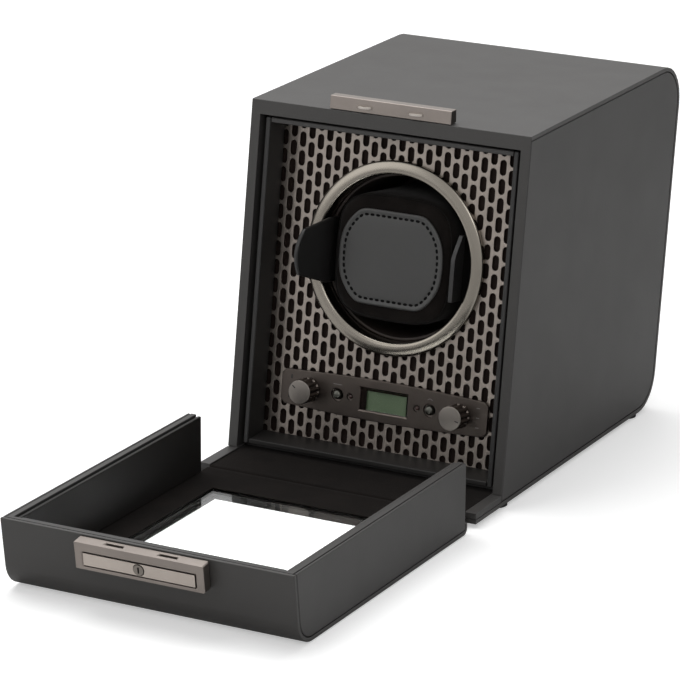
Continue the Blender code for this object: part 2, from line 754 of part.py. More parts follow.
def display(controls):
    """Clear lens in the panel and the display module behind it."""
    half = DISPLAY_WIDTH / 2 - SEAT
    rise = DISPLAY_HEIGHT / 2 - SEAT
    front = PANEL_FRONT + DISPLAY_SINK
    lens = extrusion(rectangle(half, -rise, rise), "Y", front, front + DISPLAY_LENS)
    look(add_object("display_window", lens, controls), (0.6, 0.65, 0.6), 0.05)
    half = LIGHT_SPACING / 2 - LIGHT_RADIUS - DISPLAY_GAP
    rise = CUTOUT_HEIGHT / 2 - SEAT
    start = PANEL_FRONT + CONTROL_PANEL + SEAT
    module = extrusion(rectangle(half, -rise, rise), "Y", start, BOARD_DEPTH - SEAT)
    look(add_object("display_module", module, controls), (0.20, 0.26, 0.19), 0.4)


def knob(controls, name, switch_name, across):
    """Fluted knob on a shaft, and the rotary switch that the shaft enters."""
    front = PANEL_FRONT - SEAT - KNOB_LENGTH
    rear = PANEL_FRONT - SEAT
    edge = SOFT_EDGE * 2
    switch_front = PANEL_FRONT + CONTROL_PANEL + SWITCH_SETBACK
    profile = [
        (0, front),
        (KNOB_RADIUS - edge, front),
        (KNOB_RADIUS, front + edge),
        (KNOB_RADIUS, rear),
        (KNOB_SHAFT, rear),
        (KNOB_SHAFT, switch_front - SEAT),
        (0, switch_front - SEAT),
    ]
    bm = turning(profile, ROUND_SEGMENTS)
    turn = 2 * math.pi / ROUND_SEGMENTS
    for corner in bm.verts:
        radius = math.hypot(corner.co.x, corner.co.z)
        step = round(math.atan2(corner.co.z, corner.co.x) / turn)
        if radius > KNOB_RADIUS - edge / 2 and step % 4 == 0:
            corner.co.x *= (KNOB_RADIUS - KNOB_FLUTE) / radius
            corner.co.z *= (KNOB_RADIUS - KNOB_FLUTE) / radius
    look(smooth(add_object(name, bm, controls, (across, 0, 0))), *GUNMETAL)
    half = SELECTOR / 2
    body = extrusion(rectangle(half, -half, half), "Y", switch_front, BOARD_DEPTH - SEAT)
    look(add_object(switch_name, body, controls, (across, 0, 0)), *BLACK_PLASTIC)


def button(controls, name, switch_name, across):
    """Sprung push button and the small switch that it presses."""
    front = PANEL_FRONT - BUTTON_PROUD
    rear = PANEL_FRONT + CONTROL_PANEL + SWITCH_SETBACK
    switch_front = rear + BUTTON_TRAVEL + SEAT
    profile = [
        (0, front),
        (BUTTON_RADIUS - SOFT_EDGE, front),
        (BUTTON_RADIUS, front + SOFT_EDGE),
        (BUTTON_RADIUS, rear),
        (0, rear),
    ]
    cap = add_object(name, turning(profile, SMALL_SEGMENTS), controls, (across, 0, 0))
    look(smooth(cap), *GUNMETAL)
    half = SWITCH / 2
    body = extrusion(rectangle(half, -half, half), "Y", switch_front, BOARD_DEPTH - SEAT)
    look(add_object(switch_name, body, controls, (across, 0, 0)), *BLACK_PLASTIC)


def indicator(controls, name, across):
    """Light pipe from the board to the panel's face."""
    pipe = extrusion(circle(LIGHT_RADIUS, POST_SEGMENTS), "Y", PANEL_FRONT, BOARD_DEPTH - SEAT)
    look(smooth(add_object(name, pipe, controls, (across, 0, 0))), (0.25, 0.05, 0.04), 0.2)


def control_board(controls):
    """Circuit board on four spacers behind the backing sheet."""
    half = CONTROL_WIDTH / 2
    rise = BOARD_HEIGHT / 2
    sheet = extrusion(rectangle(half, -rise, rise), "Y", BOARD_DEPTH, BOARD_DEPTH + BOARD)
    board = add_object("control_board", sheet, controls)
    across = half - SPACER_RADIUS
    up = rise - SPACER_RADIUS
    start = BACKING_DEPTH + BACKING + SEAT
    for name, x, z in (("a", -across, -up), ("b", across, -up), ("c", -across, up), ("d", across, up)):
        post = extrusion(circle(SPACER_RADIUS, POST_SEGMENTS, x, z), "Y", start, BOARD_DEPTH + BOARD / 2)
        combine(board, add_object(f"spacer_add_{name}", post, controls), "UNION")
    look(board, (0.02, 0.08, 0.03), 0.5)


# Drum, drive and cuff

def drum_housing(drum_frame):
    """Fixed cup behind the plate, with a boss for the shaft's bearing."""
    outer = HOUSING_BORE + HOUSING_WALL
    base = HOUSING_BACK
    boss_front = base - BOSS_LENGTH + HOUSING_BASE
    boss_rear = base + HOUSING_BASE
    flange = HOUSING_FRONT + HOUSING_BASE
    bore = BEARING_RADIUS + SEAT
    profile = [
        (HOUSING_BORE, HOUSING_FRONT),
        (HOUSING_FLANGE, HOUSING_FRONT),
        (HOUSING_FLANGE, flange),
        (outer, flange),
        (outer, base + HOUSING_BASE - SEAT),
        (BOSS_RADIUS, base + HOUSING_BASE - SEAT),
        (BOSS_RADIUS, boss_rear),
        (bore, boss_rear),
        (bore, boss_front + HOUSING_BASE),
        (BOSS_RADIUS, boss_front + HOUSING_BASE),
        (BOSS_RADIUS, base),
        (HOUSING_BORE, base),
    ]
    look(smooth(add_object("drum_housing", turning(profile, ROUND_SEGMENTS), drum_frame)), *BLACK_PLASTIC)


def bearing(drum_frame, name, middle):
    """Plain bush on the drum shaft."""
    half = BEARING_LENGTH / 2 if name == "front_bearing" else BRACKET / 2 + SEAT
    profile = [
        (BEARING_BORE, middle - half),
        (BEARING_RADIUS, middle - half),
        (BEARING_RADIUS, middle + half),
        (BEARING_BORE, middle + half),
    ]
    look(smooth(add_object(name, turning(profile, SMALL_SEGMENTS), drum_frame)), (0.45, 0.33, 0.16), 0.35, 1.0)


def drum(drum_frame):
    """Rotating cup that holds the cuff, its shaft and its pulley."""
    outer = DRUM_BORE + DRUM_WALL
    bore = SHAFT_RADIUS + SEAT
    profile = [
        (DRUM_BORE, DRUM_FRONT),
        (outer, DRUM_FRONT),
        (outer, DRUM_BACK),
        (bore, DRUM_BACK),
        (bore, DRUM_BACK - DRUM_BASE),
        (DRUM_BORE, DRUM_BACK - DRUM_BASE),
    ]
    look(smooth(add_object("drum", turning(profile, ROUND_SEGMENTS), drum_frame)), *BLACK_PLASTIC)
    head_rear = SHAFT_HEAD_FRONT + SHAFT_HEAD_HEIGHT
    profile = [
        (0, SHAFT_HEAD_FRONT),
        (SHAFT_HEAD, SHAFT_HEAD_FRONT),
        (SHAFT_HEAD, head_rear),
        (SHAFT_RADIUS, head_rear),
        (SHAFT_RADIUS, BRACKET_DEPTH + BRACKET + OVERRUN),
        (0, BRACKET_DEPTH + BRACKET + OVERRUN),
    ]
    look(smooth(add_object("drum_shaft", turning(profile, SMALL_SEGMENTS), drum_frame)), *STEEL)
    pulley(drum_frame, "drum_pulley", bore, PULLEY_RADIUS, PULLEY_FLOOR, ROUND_SEGMENTS)


def pulley(frame, name, bore, radius, floor, segments, shaft_end=None):
    """Flanged belt pulley; with shaft_end it carries its own solid shaft."""
    profile = [
        (bore, PULLEY_FRONT),
        (radius, PULLEY_FRONT),
        (radius, PULLEY_FRONT + PULLEY_FLANGE),
        (floor, PULLEY_FRONT + PULLEY_FLANGE),
        (floor, PULLEY_BACK - PULLEY_FLANGE),
        (radius, PULLEY_BACK - PULLEY_FLANGE),
        (radius, PULLEY_BACK),
    ]
    if shaft_end is None:
        profile.append((bore, PULLEY_BACK))
    else:
        profile += [(MOTOR_SHAFT, PULLEY_BACK), (MOTOR_SHAFT, shaft_end), (0, shaft_end)]
    look(smooth(add_object(name, turning(profile, segments), frame)), (0.25, 0.25, 0.25), 0.4)


def belt_outline(extra):
    """Loop round both pulleys, extra outside their floors."""
    big = PULLEY_FLOOR + extra
    small = SMALL_PULLEY_FLOOR + extra
    lean = math.asin((big - small) / DRIVE_SPACING)
    outline = []
    for step in range(ROUND_SEGMENTS + 1):
        angle = -lean + (math.pi + 2 * lean) * step / ROUND_SEGMENTS
        outline.append((big * math.cos(angle), big * math.sin(angle)))
    for step in range(SMALL_SEGMENTS + 1):
        angle = math.pi + lean + (math.pi - 2 * lean) * step / SMALL_SEGMENTS
        outline.append((small * math.cos(angle), small * math.sin(angle) - DRIVE_SPACING))
    return outline


def drive(drum_frame, motor_frame):
    """Belt, bracket and geared motor."""
    start = PULLEY_FRONT + PULLEY_FLANGE + SEAT
    bm = extrusion(belt_outline(SEAT + BELT), "Y", start, start + BELT_WIDTH, [belt_outline(SEAT)])
    look(add_object("drive_belt", bm, drum_frame), (0.02, 0.02, 0.02), 0.8)

    low = -DRIVE_SPACING - BRACKET_ABOVE
    holes = [
        circle(BEARING_RADIUS + SEAT, SMALL_SEGMENTS),
        circle(MOTOR_SHAFT + RUNNING, SMALL_SEGMENTS, 0, -DRIVE_SPACING),
    ]
    outline = rectangle(BRACKET_HALF_WIDTH, low, BRACKET_ABOVE)
    plate = extrusion(outline, "Y", BRACKET_DEPTH, BRACKET_DEPTH + BRACKET, holes)
    bracket = add_object("motor_bracket", plate, drum_frame)
    start = HOUSING_BACK + HOUSING_BASE
    places = (
        ("a", -POST_SPREAD, POST_HIGH),
        ("b", POST_SPREAD, POST_HIGH),
        ("c", -POST_SPREAD, -POST_LOW),
        ("d", POST_SPREAD, -POST_LOW),
    )
    for name, x, z in places:
        post = extrusion(circle(POST_RADIUS, POST_SEGMENTS, x, z), "Y", start, BRACKET_DEPTH + BRACKET / 2)
        combine(bracket, add_object(f"post_add_{name}", post, drum_frame), "UNION")
    look(bracket, *STEEL)

    pulley(motor_frame, "motor_pulley", 0, SMALL_PULLEY_RADIUS, SMALL_PULLEY_FLOOR, SMALL_SEGMENTS,
           BRACKET_DEPTH + BRACKET + OVERRUN)
    front = BRACKET_DEPTH + BRACKET + SEAT
    middle = front + GEARBOX_LENGTH
    rear = middle + MOTOR_LENGTH
    hollow = front + 2 * OVERRUN
    bore = MOTOR_SHAFT + SEAT
    profile = [
        (bore, front),
        (MOTOR_RADIUS, front),
        (MOTOR_RADIUS, middle),
        (MOTOR_RADIUS - CAN_STEP, middle),
        (MOTOR_RADIUS - CAN_STEP, rear),
        (0, rear),
        (0, hollow),
        (bore, hollow),
    ]
    look(smooth(add_object("gear_motor", turning(profile, SMALL_SEGMENTS), motor_frame)), *STEEL)


def cuff_section(inset):
    """Outline of the cuff, drawn in by inset."""
    return barrel(CUFF_REACH - inset, CUFF_WIDTH / 2 - inset, CUFF_HEIGHT / 2 - inset)


def cuff(drum_frame, wing_frames):
    """Padded cuff seated on the shaft's head, its patch, and a spring wing on each side."""
    rear = SHAFT_HEAD_FRONT - SEAT
    insets = [(CUFF_CROWN * inward, CUFF_CROWN * back) for inward, back in CROWN_SHARES]
    sections = [(cuff_section(inset), CUFF_FRONT + back) for inset, back in insets]
    sections += [(cuff_section(inset), rear - back) for inset, back in reversed(insets)]
    look(smooth(add_object("cuff_body", loft(sections), drum_frame)), *CUFF_LOOK)

    outline = barrel(PATCH_REACH, PATCH_WIDTH / 2, PATCH_HEIGHT / 2)
    front = CUFF_FRONT - SEAT - PATCH
    patch = add_object("cuff_patch", extrusion(outline, "Y", front, front + PATCH), drum_frame)
    look(soften(patch), (0.04, 0.04, 0.04), 0.55)

    root = (WING_ROOT_DEPTH, 0.0)
    bend = (WING_BEND_DEPTH, 0.0)
    tip = (WING_TIP_DEPTH, WING_FLARE)
    wing("cuff_wing_left", wing_frames[-1], -1, [root, bend, tip])
    wing("cuff_wing_right", wing_frames[1], 1, [root, (WING_FRONT_DEPTH, 0.0)])


def wing(name, frame, side, places):
    """Spring wing beside the cuff, through (depth, flare) places; what flares narrows to its tip."""
    near = [(side * (flare - WING / 2), depth - WING_PIVOT_DEPTH) for depth, flare in places]
    far = [(side * (flare + WING / 2), depth - WING_PIVOT_DEPTH) for depth, flare in places]
    bm = extrusion(near + far[::-1], "Z", -WING_HALF_HEIGHT, WING_HALF_HEIGHT)
    for corner in bm.verts:
        if abs(corner.co.x) > WING:
            corner.co.z *= WING_TIP_HALF_HEIGHT / WING_HALF_HEIGHT
    look(add_object(name, bm, frame), *BLACK_PLASTIC)


# Cover

def latch_line(up, inset=0.0):
    """Y of the cover's latch wall at height up, moved in by inset."""
    run = (LATCH_RUN + up * math.sin(TILT)) / math.cos(TILT)
    return inset / math.cos(TILT) - run


def cover_wrap(cover):
    """Leatherette-covered band under the cover and up its latch wall."""
    low = COVER_UNDER
    inner_low = low + WRAP
    end_top = COVER_FLOOR_TOP
    outline = [
        (-COVER_END, end_top),
        (-COVER_END, low),
        (latch_line(low), low),
        (latch_line(RIM_LIFT), RIM_LIFT),
        (latch_line(RIM_LIFT, WRAP), RIM_LIFT),
        (latch_line(inner_low, WRAP), inner_low),
        (-COVER_END - WRAP, inner_low),
        (-COVER_END - WRAP, end_top),
    ]
    radii = [0, COVER_END_RADIUS, COVER_RADIUS, 0, 0, COVER_RADIUS - WRAP, COVER_END_RADIUS - WRAP, 0]
    band = add_object("cover_wrap", extrusion(rounded(outline, radii), "X", -HALF_WIDTH, HALF_WIDTH), cover)
    combine(band, window_cutter(cover, "wrap_window_cut", REVEAL_LAP))
    look(smooth(band), *LEATHERETTE)


def window_span(extra):
    """Rear and front ends of the window, widened by extra."""
    rear = -COVER_END - WINDOW_REAR
    wall = latch_line(COVER_FLOOR_TOP, COVER_WALL + COVER_GROOVE + COVER_LINER)
    return wall + WINDOW_FRONT - extra, rear + extra


def window_cutter(cover, name, extra, low=None, high=None):
    """Block that opens the window through the cover."""
    start = COVER_UNDER - OVERRUN if low is None else low
    end = OVERRUN if high is None else high
    front, rear = window_span(extra)
    outline = rectangle(WINDOW_WIDTH / 2 + extra, front, rear)
    return add_object(name, extrusion(outline, "Z", start, end), cover)


def cover_frame(cover):
    """Boards of the cover: floor, latch wall and two side walls, open at the hinge end."""
    low = COVER_UNDER + WRAP + SEAT
    end = -COVER_END - WRAP - SEAT
    outline = [
        (end, low),
        (latch_line(low, WRAP + SEAT), low),
        (latch_line(RIM_LIFT, WRAP + SEAT), RIM_LIFT),
        (end, RIM_LIFT),
    ]
    inner_radius = COVER_RADIUS - WRAP - SEAT
    radii = [COVER_END_RADIUS - WRAP - SEAT, inner_radius, 0, 0]
    frame = add_object("cover_frame", extrusion(rounded(outline, radii), "X", -INNER_HALF, INNER_HALF), cover)
    room = [
        (OVERRUN, COVER_FLOOR_TOP),
        (latch_line(COVER_FLOOR_TOP, COVER_WALL), COVER_FLOOR_TOP),
        (latch_line(RIM_LIFT + OVERRUN, COVER_WALL), RIM_LIFT + OVERRUN),
        (OVERRUN, RIM_LIFT + OVERRUN),
    ]
    half = HALF_WIDTH - COVER_WALL
    combine(frame, add_object("cover_room_cut", extrusion(room, "X", -half, half), cover))
    combine(frame, window_cutter(cover, "frame_window_cut", REVEAL_LAP))
    seat_low = COVER_FLOOR_TOP - GLASS - SEAT
    combine(frame, window_cutter(cover, "glass_seat_cut", GLASS_LAP + SEAT + REVEAL_LAP, seat_low))
    look(smooth(frame), *SIDE_LEATHERETTE)


def cover_sides(cover):
    """Inlaid boards on the cover's outer sides."""
    inset = WRAP + PANEL_REVEAL
    low = COVER_UNDER + inset
    end = -COVER_END - inset
    outline = [
        (end, low),
        (latch_line(low, inset), low),
        (latch_line(RIM_LIFT, inset), RIM_LIFT),
        (end, RIM_LIFT),
    ]
    radii = [COVER_END_RADIUS - WRAP, COVER_RADIUS - inset, 0, 0]
    for side, name in ((-1, "cover_side_left"), (1, "cover_side_right")):
        near = side * (HALF_WIDTH - SIDE_PANEL)
        bm = extrusion(rounded(outline, radii), "X", near, side * HALF_WIDTH)
        look(smooth(soften(add_object(name, bm, cover))), *SIDE_LEATHERETTE)


def cover_liners(cover):
    """Lining boards a groove's width inside the cover's walls."""
    low = FELT_TOP - HINGE_Z + SEAT
    high = RIM_LIFT - COVER_LINER_DROP
    wall = COVER_WALL + COVER_GROOVE
    outer = HALF_WIDTH - wall
    inner = outer - COVER_LINER
    end = -COVER_END - WRAP
    side = [
        (end, low),
        (latch_line(low, wall), low),
        (latch_line(high, wall), high),
        (end, high),
    ]
    for sign, name in ((-1, "cover_liner_left"), (1, "cover_liner_right")):
        bm = extrusion(side, "X", sign * inner, sign * outer)
        look(add_object(name, bm, cover), *SIDE_LEATHERETTE)
    front = [
        (latch_line(low, wall + COVER_LINER), low),
        (latch_line(low, wall), low),
        (latch_line(high, wall), high),
        (latch_line(high, wall + COVER_LINER), high),
    ]
    reach = inner - SEAT
    look(add_object("cover_liner_front", extrusion(front, "X", -reach, reach), cover), *SIDE_LEATHERETTE)


def cover_floor(cover):
    """Felt round the window, and the glass below it."""
    low = FELT_TOP - FELT - HINGE_Z
    high = FELT_TOP - HINGE_Z
    half = FELT_HALF
    inner_half = HALF_WIDTH - COVER_WALL - SEAT
    front = latch_line(COVER_FLOOR_TOP, COVER_WALL + SEAT)
    outline = [
        (-half, -SEAT),
        (-half, -COVER_END),
        (-inner_half, -COVER_END - WRAP),
        (-inner_half, front),
        (inner_half, front),
        (inner_half, -COVER_END - WRAP),
        (half, -COVER_END),
        (half, -SEAT),
    ]
    window_front, window_rear = window_span(0)
    hole = rectangle(WINDOW_WIDTH / 2, window_front, window_rear)
    felt = add_object("cover_felt", extrusion(outline, "Z", COVER_FLOOR_TOP + SEAT, high, [hole]), cover)
    look(felt, *FELT_LOOK)
    glass_front, glass_rear = window_span(GLASS_LAP + REVEAL_LAP)
    outline = rectangle(WINDOW_WIDTH / 2 + GLASS_LAP + REVEAL_LAP, glass_front, glass_rear)
    pane = extrusion(outline, "Z", COVER_FLOOR_TOP - GLASS, COVER_FLOOR_TOP)
    look(add_object("window_glass", pane, cover), (0.9, 0.92, 0.92), 0.02)


# Latch

def latch(latch_frame):
    """Latch block on the cover, its push plate, bolt and lock cylinder."""
    half = LATCH_WIDTH / 2
    top = -LATCH_DROP
    low = top - LATCH_HEIGHT
    outline = rectangle(half, low, top)
    block = add_object("latch_body", extrusion(outline, "Y", -LATCH_PROUD, -SEAT), latch_frame)
    pocket_top = top - PUSH_TOP
    pocket_low = low + PUSH_BOTTOM
    pocket = rectangle(PUSH_WIDTH / 2, pocket_low, pocket_top)
    pocket_back = PUSH_THICKNESS + PUSH_TRAVEL + SEAT - LATCH_PROUD
    cutter = extrusion(pocket, "Y", -LATCH_PROUD - OVERRUN, pocket_back)
    combine(block, add_object("pocket_cut", cutter, latch_frame))
    middle = (pocket_low + pocket_top) / 2
    round_hole = circle(LOCK_RADIUS + SEAT, SMALL_SEGMENTS, 0, middle)
    bore = extrusion(round_hole, "Y", -LATCH_PROUD - OVERRUN, -BORE_FLOOR)
    combine(block, add_object("lock_cut", bore, latch_frame))
    slot_middle = -LATCH_PROUD / 2
    slot_top = top + OVERRUN
    for sign, name in ((-1, "slot_cut_left"), (1, "slot_cut_right")):
        slot = rectangle(SLOT_WIDTH / 2, slot_middle - SLOT_HEIGHT / 2, slot_middle + SLOT_HEIGHT / 2)
        cutter = extrusion(slot, "Z", top - SLOT_DEPTH, slot_top)
        place = (sign * HOOK_SPACING / 2, 0, 0)
        combine(block, add_object(name, cutter, latch_frame, place))
    look(soften(block, BLOCK_EDGE), *LATCH_METAL)

    plate_back = -LATCH_PROUD + PUSH_THICKNESS
    outline = rectangle(PUSH_WIDTH / 2 - PUSH_SLIT, pocket_low + PUSH_SLIT, pocket_top - PUSH_SLIT)
    holes = [circle(LOCK_RADIUS + SEAT, SMALL_SEGMENTS, 0, middle)]
    plate = extrusion(outline, "Y", -LATCH_PROUD, plate_back, holes)
    look(add_object("latch_push_plate", plate, latch_frame), *LATCH_METAL)

    rear = -LATCH_PROUD + LOCK_LENGTH - SEAT
    cylinder = extrusion(circle(LOCK_RADIUS, SMALL_SEGMENTS), "Y", -LATCH_PROUD - SEAT, rear)
    lock = add_object("lock_cylinder", cylinder, latch_frame, (0, 0, middle))
    keyway = rectangle(KEYWAY_WIDTH / 2, -KEYWAY_LENGTH / 2, KEYWAY_LENGTH / 2)
    cutter = extrusion(keyway, "Y", -LATCH_PROUD - OVERRUN, -LATCH_PROUD + KEYWAY_DEPTH)
    combine(lock, add_object("keyway_cut", cutter, latch_frame, (0, 0, middle)))
    look(lock, *STEEL)


def build():
    """Model every piece of the winder."""
    for leftover in list(bpy.data.objects):
        bpy.data.objects.remove(leftover, do_unlink=True)
    latch_reach = LATCH_PROUD * math.cos(TILT) + LATCH_DROP * math.sin(TILT)
    front_end = HINGE_Y + latch_line(RIM_LIFT) - latch_reach
    back_end = back_at(CASE_HEIGHT - BACK_RADIUS) + BACK_RADIUS - BACK_RADIUS / math.cos(TILT)
    case = empty("case_frame", None, Matrix.Translation((0, -(front_end + back_end) / 2, 0)))
    tip_back = Matrix.Rotation(-TILT, 4, "X")
    opening = empty("opening_frame", case, Matrix.Translation((0, LEDGE_LENGTH, LEDGE_TOP)) @ tip_back)
    drum_frame = empty("drum_frame", opening, Matrix.Translation((0, 0, DRUM_RISE)))
    motor_frame = empty("motor_frame", drum_frame, Matrix.Translation((0, 0, -DRIVE_SPACING)))
    controls = empty("control_frame", opening, Matrix.Translation((0, 0, CONTROL_RISE)))
    cover = empty("cover_hinge", case, Matrix.Translation((0, HINGE_Y, HINGE_Z)))
    latch_place = Matrix.Translation((0, latch_line(RIM_LIFT), RIM_LIFT)) @ Matrix.Rotation(TILT, 4, "X")
    latch_frame = empty("latch_frame", cover, latch_place)
    pivot = CUFF_WIDTH / 2 + SEAT + WING / 2
    wing_frames = {}
    for sign, name in ((-1, "wing_pivot_left"), (1, "wing_pivot_right")):
        place = Matrix.Translation((sign * pivot, WING_PIVOT_DEPTH, 0))
        wing_frames[sign] = empty(name, drum_frame, place)

    case_wrap(case)
    case_carcass(case)
    side_panels(case)
    ledge(case)
    feet(case)
    mouth_liners(case)
    keeper(case)
    power_inlet(opening)
    sheets(opening)
    ring_bezel(drum_frame)
    control_panel(controls)
    display(controls)
    for sign, side in ((-1, "left"), (1, "right")):
        knob(controls, f"knob_{side}", f"selector_{side}", sign * KNOB_SPACING / 2)
        button(controls, f"button_{side}", f"key_switch_{side}", sign * BUTTON_SPACING / 2)
        indicator(controls, f"indicator_{side}", sign * LIGHT_SPACING / 2)
    control_board(controls)
    drum_housing(drum_frame)
    bearing(drum_frame, "front_bearing", HOUSING_BACK + HOUSING_BASE - BEARING_LENGTH / 2)
    bearing(drum_frame, "rear_bearing", BRACKET_DEPTH + BRACKET / 2)
    drum(drum_frame)
    drive(drum_frame, motor_frame)
    cuff(drum_frame, wing_frames)
    cover_wrap(cover)
    cover_frame(cover)
    cover_sides(cover)
    cover_liners(cover)
    cover_floor(cover)
    latch(latch_frame)


build()
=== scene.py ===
"""Dressed model of the watch winder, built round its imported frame.

Shapes are drawn in millimetres in the frames of the source: the case, the leaning opening, the drum
and the controls. Every frame's matrix turns millimetres into world metres.
"""
import json
import math

import bmesh
import bpy
import numpy as np
from mathutils import Matrix, Vector

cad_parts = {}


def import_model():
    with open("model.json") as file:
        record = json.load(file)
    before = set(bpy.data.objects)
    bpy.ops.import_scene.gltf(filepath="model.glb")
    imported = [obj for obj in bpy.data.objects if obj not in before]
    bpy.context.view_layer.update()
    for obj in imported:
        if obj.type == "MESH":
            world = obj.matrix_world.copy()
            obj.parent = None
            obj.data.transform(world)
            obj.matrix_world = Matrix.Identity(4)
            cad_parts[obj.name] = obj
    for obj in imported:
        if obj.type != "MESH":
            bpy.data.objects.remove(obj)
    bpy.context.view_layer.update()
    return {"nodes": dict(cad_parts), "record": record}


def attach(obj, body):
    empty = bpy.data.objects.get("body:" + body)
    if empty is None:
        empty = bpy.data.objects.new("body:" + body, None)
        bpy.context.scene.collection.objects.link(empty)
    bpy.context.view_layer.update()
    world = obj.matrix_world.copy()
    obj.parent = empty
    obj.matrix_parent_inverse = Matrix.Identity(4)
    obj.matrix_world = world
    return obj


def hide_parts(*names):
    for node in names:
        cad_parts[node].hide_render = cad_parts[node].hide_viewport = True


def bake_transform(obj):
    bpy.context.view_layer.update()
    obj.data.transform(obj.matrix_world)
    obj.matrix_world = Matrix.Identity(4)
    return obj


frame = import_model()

NODES = frame["nodes"]
RECORD = frame["record"]
BODY = {node: body for body, group in RECORD["behaviour"]["bodies"].items() for node in group}

# Frames, from millimetres to world metres
TILT = math.radians(8.15)
MM = Matrix.Scale(0.001, 4)
CASE = Matrix.Translation((0, -0.021858, 0)) @ MM
OPENING = Matrix.Translation((0, 0.006142, 0.0075)) @ Matrix.Rotation(-TILT, 4, "X") @ MM
DRUM = OPENING @ Matrix.Translation((0, 0, 102.303))
CONTROLS = OPENING @ Matrix.Translation((0, 0, 31.193))


# Materials

class Look:
    """A Principled material whose detail comes from textures in object space, in metres."""

    def __init__(self, name, colour, roughness, metallic=0.0, **sockets):
        self.material = bpy.data.materials.new(name)
        self.material.use_nodes = True
        self.tree = self.material.node_tree
        self.shader = self.tree.nodes["Principled BSDF"]
        self.colour = colour
        self.place = self.tree.nodes.new("ShaderNodeTexCoord").outputs["Object"]
        self.normal = None
        self.shader.inputs["Base Color"].default_value = (*colour, 1)
        self.shader.inputs["Roughness"].default_value = roughness
        self.shader.inputs["Metallic"].default_value = metallic
        for socket, value in sockets.items():
            self.shader.inputs[socket.replace("_", " ")].default_value = value

    def stretch(self, scale):
        """Object space stretched by a factor for each axis."""
        node = self.tree.nodes.new("ShaderNodeMapping")
        node.inputs["Scale"].default_value = scale
        self.tree.links.new(self.place, node.inputs["Vector"])
        return node.outputs["Vector"]

    def noise(self, scale, detail=2.0, stretched=None):
        """Noise of so many waves in a metre."""
        node = self.tree.nodes.new("ShaderNodeTexNoise")
        node.inputs["Scale"].default_value = scale
        node.inputs["Detail"].default_value = detail
        node.inputs["Roughness"].default_value = 0.5
        self.tree.links.new(self.stretch(stretched) if stretched else self.place, node.inputs["Vector"])
        return node.outputs["Fac"]

    def cells(self, scale):
        """Rounded pebbles, so many in a metre."""
        node = self.tree.nodes.new("ShaderNodeTexVoronoi")
        node.feature = "SMOOTH_F1"
        node.inputs["Scale"].default_value = scale
        node.inputs["Smoothness"].default_value = 0.6
        self.tree.links.new(self.place, node.inputs["Vector"])
        return node.outputs["Distance"]

    def span(self, value, low, high):
        """The middle of a noise's range mapped to low to high."""
        node = self.tree.nodes.new("ShaderNodeMapRange")
        for socket, number in (("From Min", 0.3), ("From Max", 0.7), ("To Min", low), ("To Max", high)):
            node.inputs[socket].default_value = number
        self.tree.links.new(value, node.inputs["Value"])
        return node.outputs["Result"]

    def tint(self, value, low, high):
        """Colour varied between low and high times the base colour."""
        first, second = ((*(c * side for c in self.colour), 1) for side in (low, high))
        node = self.tree.nodes.new("ShaderNodeMix")
        node.data_type = "RGBA"
        node.inputs["A"].default_value = first
        node.inputs["B"].default_value = second
        self.tree.links.new(self.span(value, 0, 1), node.inputs["Factor"])
        self.tree.links.new(node.outputs["Result"], self.shader.inputs["Base Color"])
        return self

    def gloss(self, value, low, high):
        """Roughness varied between low and high."""
        self.tree.links.new(self.span(value, low, high), self.shader.inputs["Roughness"])
        return self

    def bump(self, value, depth):
        """Relief of a depth in metres, added to what is there."""
        node = self.tree.nodes.new("ShaderNodeBump")
        node.inputs["Strength"].default_value = 1.0
        node.inputs["Distance"].default_value = depth
        self.tree.links.new(value, node.inputs["Height"])
        if self.normal:
            self.tree.links.new(self.normal, node.inputs["Normal"])
        self.normal = node.outputs["Normal"]
        self.tree.links.new(self.normal, self.shader.inputs["Normal"])
        return self


def leather(name, colour, roughness, grain=1500, relief=0.00003):
    """Fine pebbled leatherette."""
    look = Look(name, colour, roughness)
    look.tint(look.noise(18, 3), 0.95, 1.05)
    look.gloss(look.noise(45, 3), roughness - 0.02, roughness + 0.02)
    look.bump(look.cells(grain), relief)
    return look.bump(look.noise(grain * 2.5, 2), relief * 0.5)


def satin(name, colour, roughness, streak=(1, 1, 1), relief=0.000004):
    """Blasted or brushed metal."""
    look = Look(name, colour, roughness, 1.0)
    look.tint(look.noise(60, 3), 0.93, 1.07)
    fine = look.noise(2600, 2, streak)
    look.gloss(fine, roughness - 0.05, roughness + 0.06)
    return look.bump(fine, relief)


def smooth_metal(name, colour, roughness):
    """Plated metal with an even satin skin."""
    look = Look(name, colour, roughness, 1.0)
    look.tint(look.noise(25, 2), 0.98, 1.02)
    return look.gloss(look.noise(600, 2), roughness - 0.012, roughness + 0.012)


def plastic(name, colour, roughness, relief=0.00001):
    """Moulded plastic with a fine spark-eroded skin."""
    look = Look(name, colour, roughness)
    look.tint(look.noise(40, 2), 0.9, 1.1)
    look.gloss(look.noise(300, 2), roughness - 0.05, roughness + 0.05)
    return look.bump(look.noise(3200, 2), relief)


def cloth(name, colour, fibre, relief, sheen):
    """Short-piled fabric."""
    look = Look(name, colour, 0.95, Sheen_Weight=sheen, Sheen_Roughness=0.5)
    look.shader.inputs["Specular IOR Level"].default_value = 0.08
    look.tint(look.noise(90, 4), 0.75, 1.3)
    look.bump(look.noise(fibre, 3, (1, 0.45, 1)), relief)
    return look.bump(look.noise(fibre * 0.35, 2), relief)


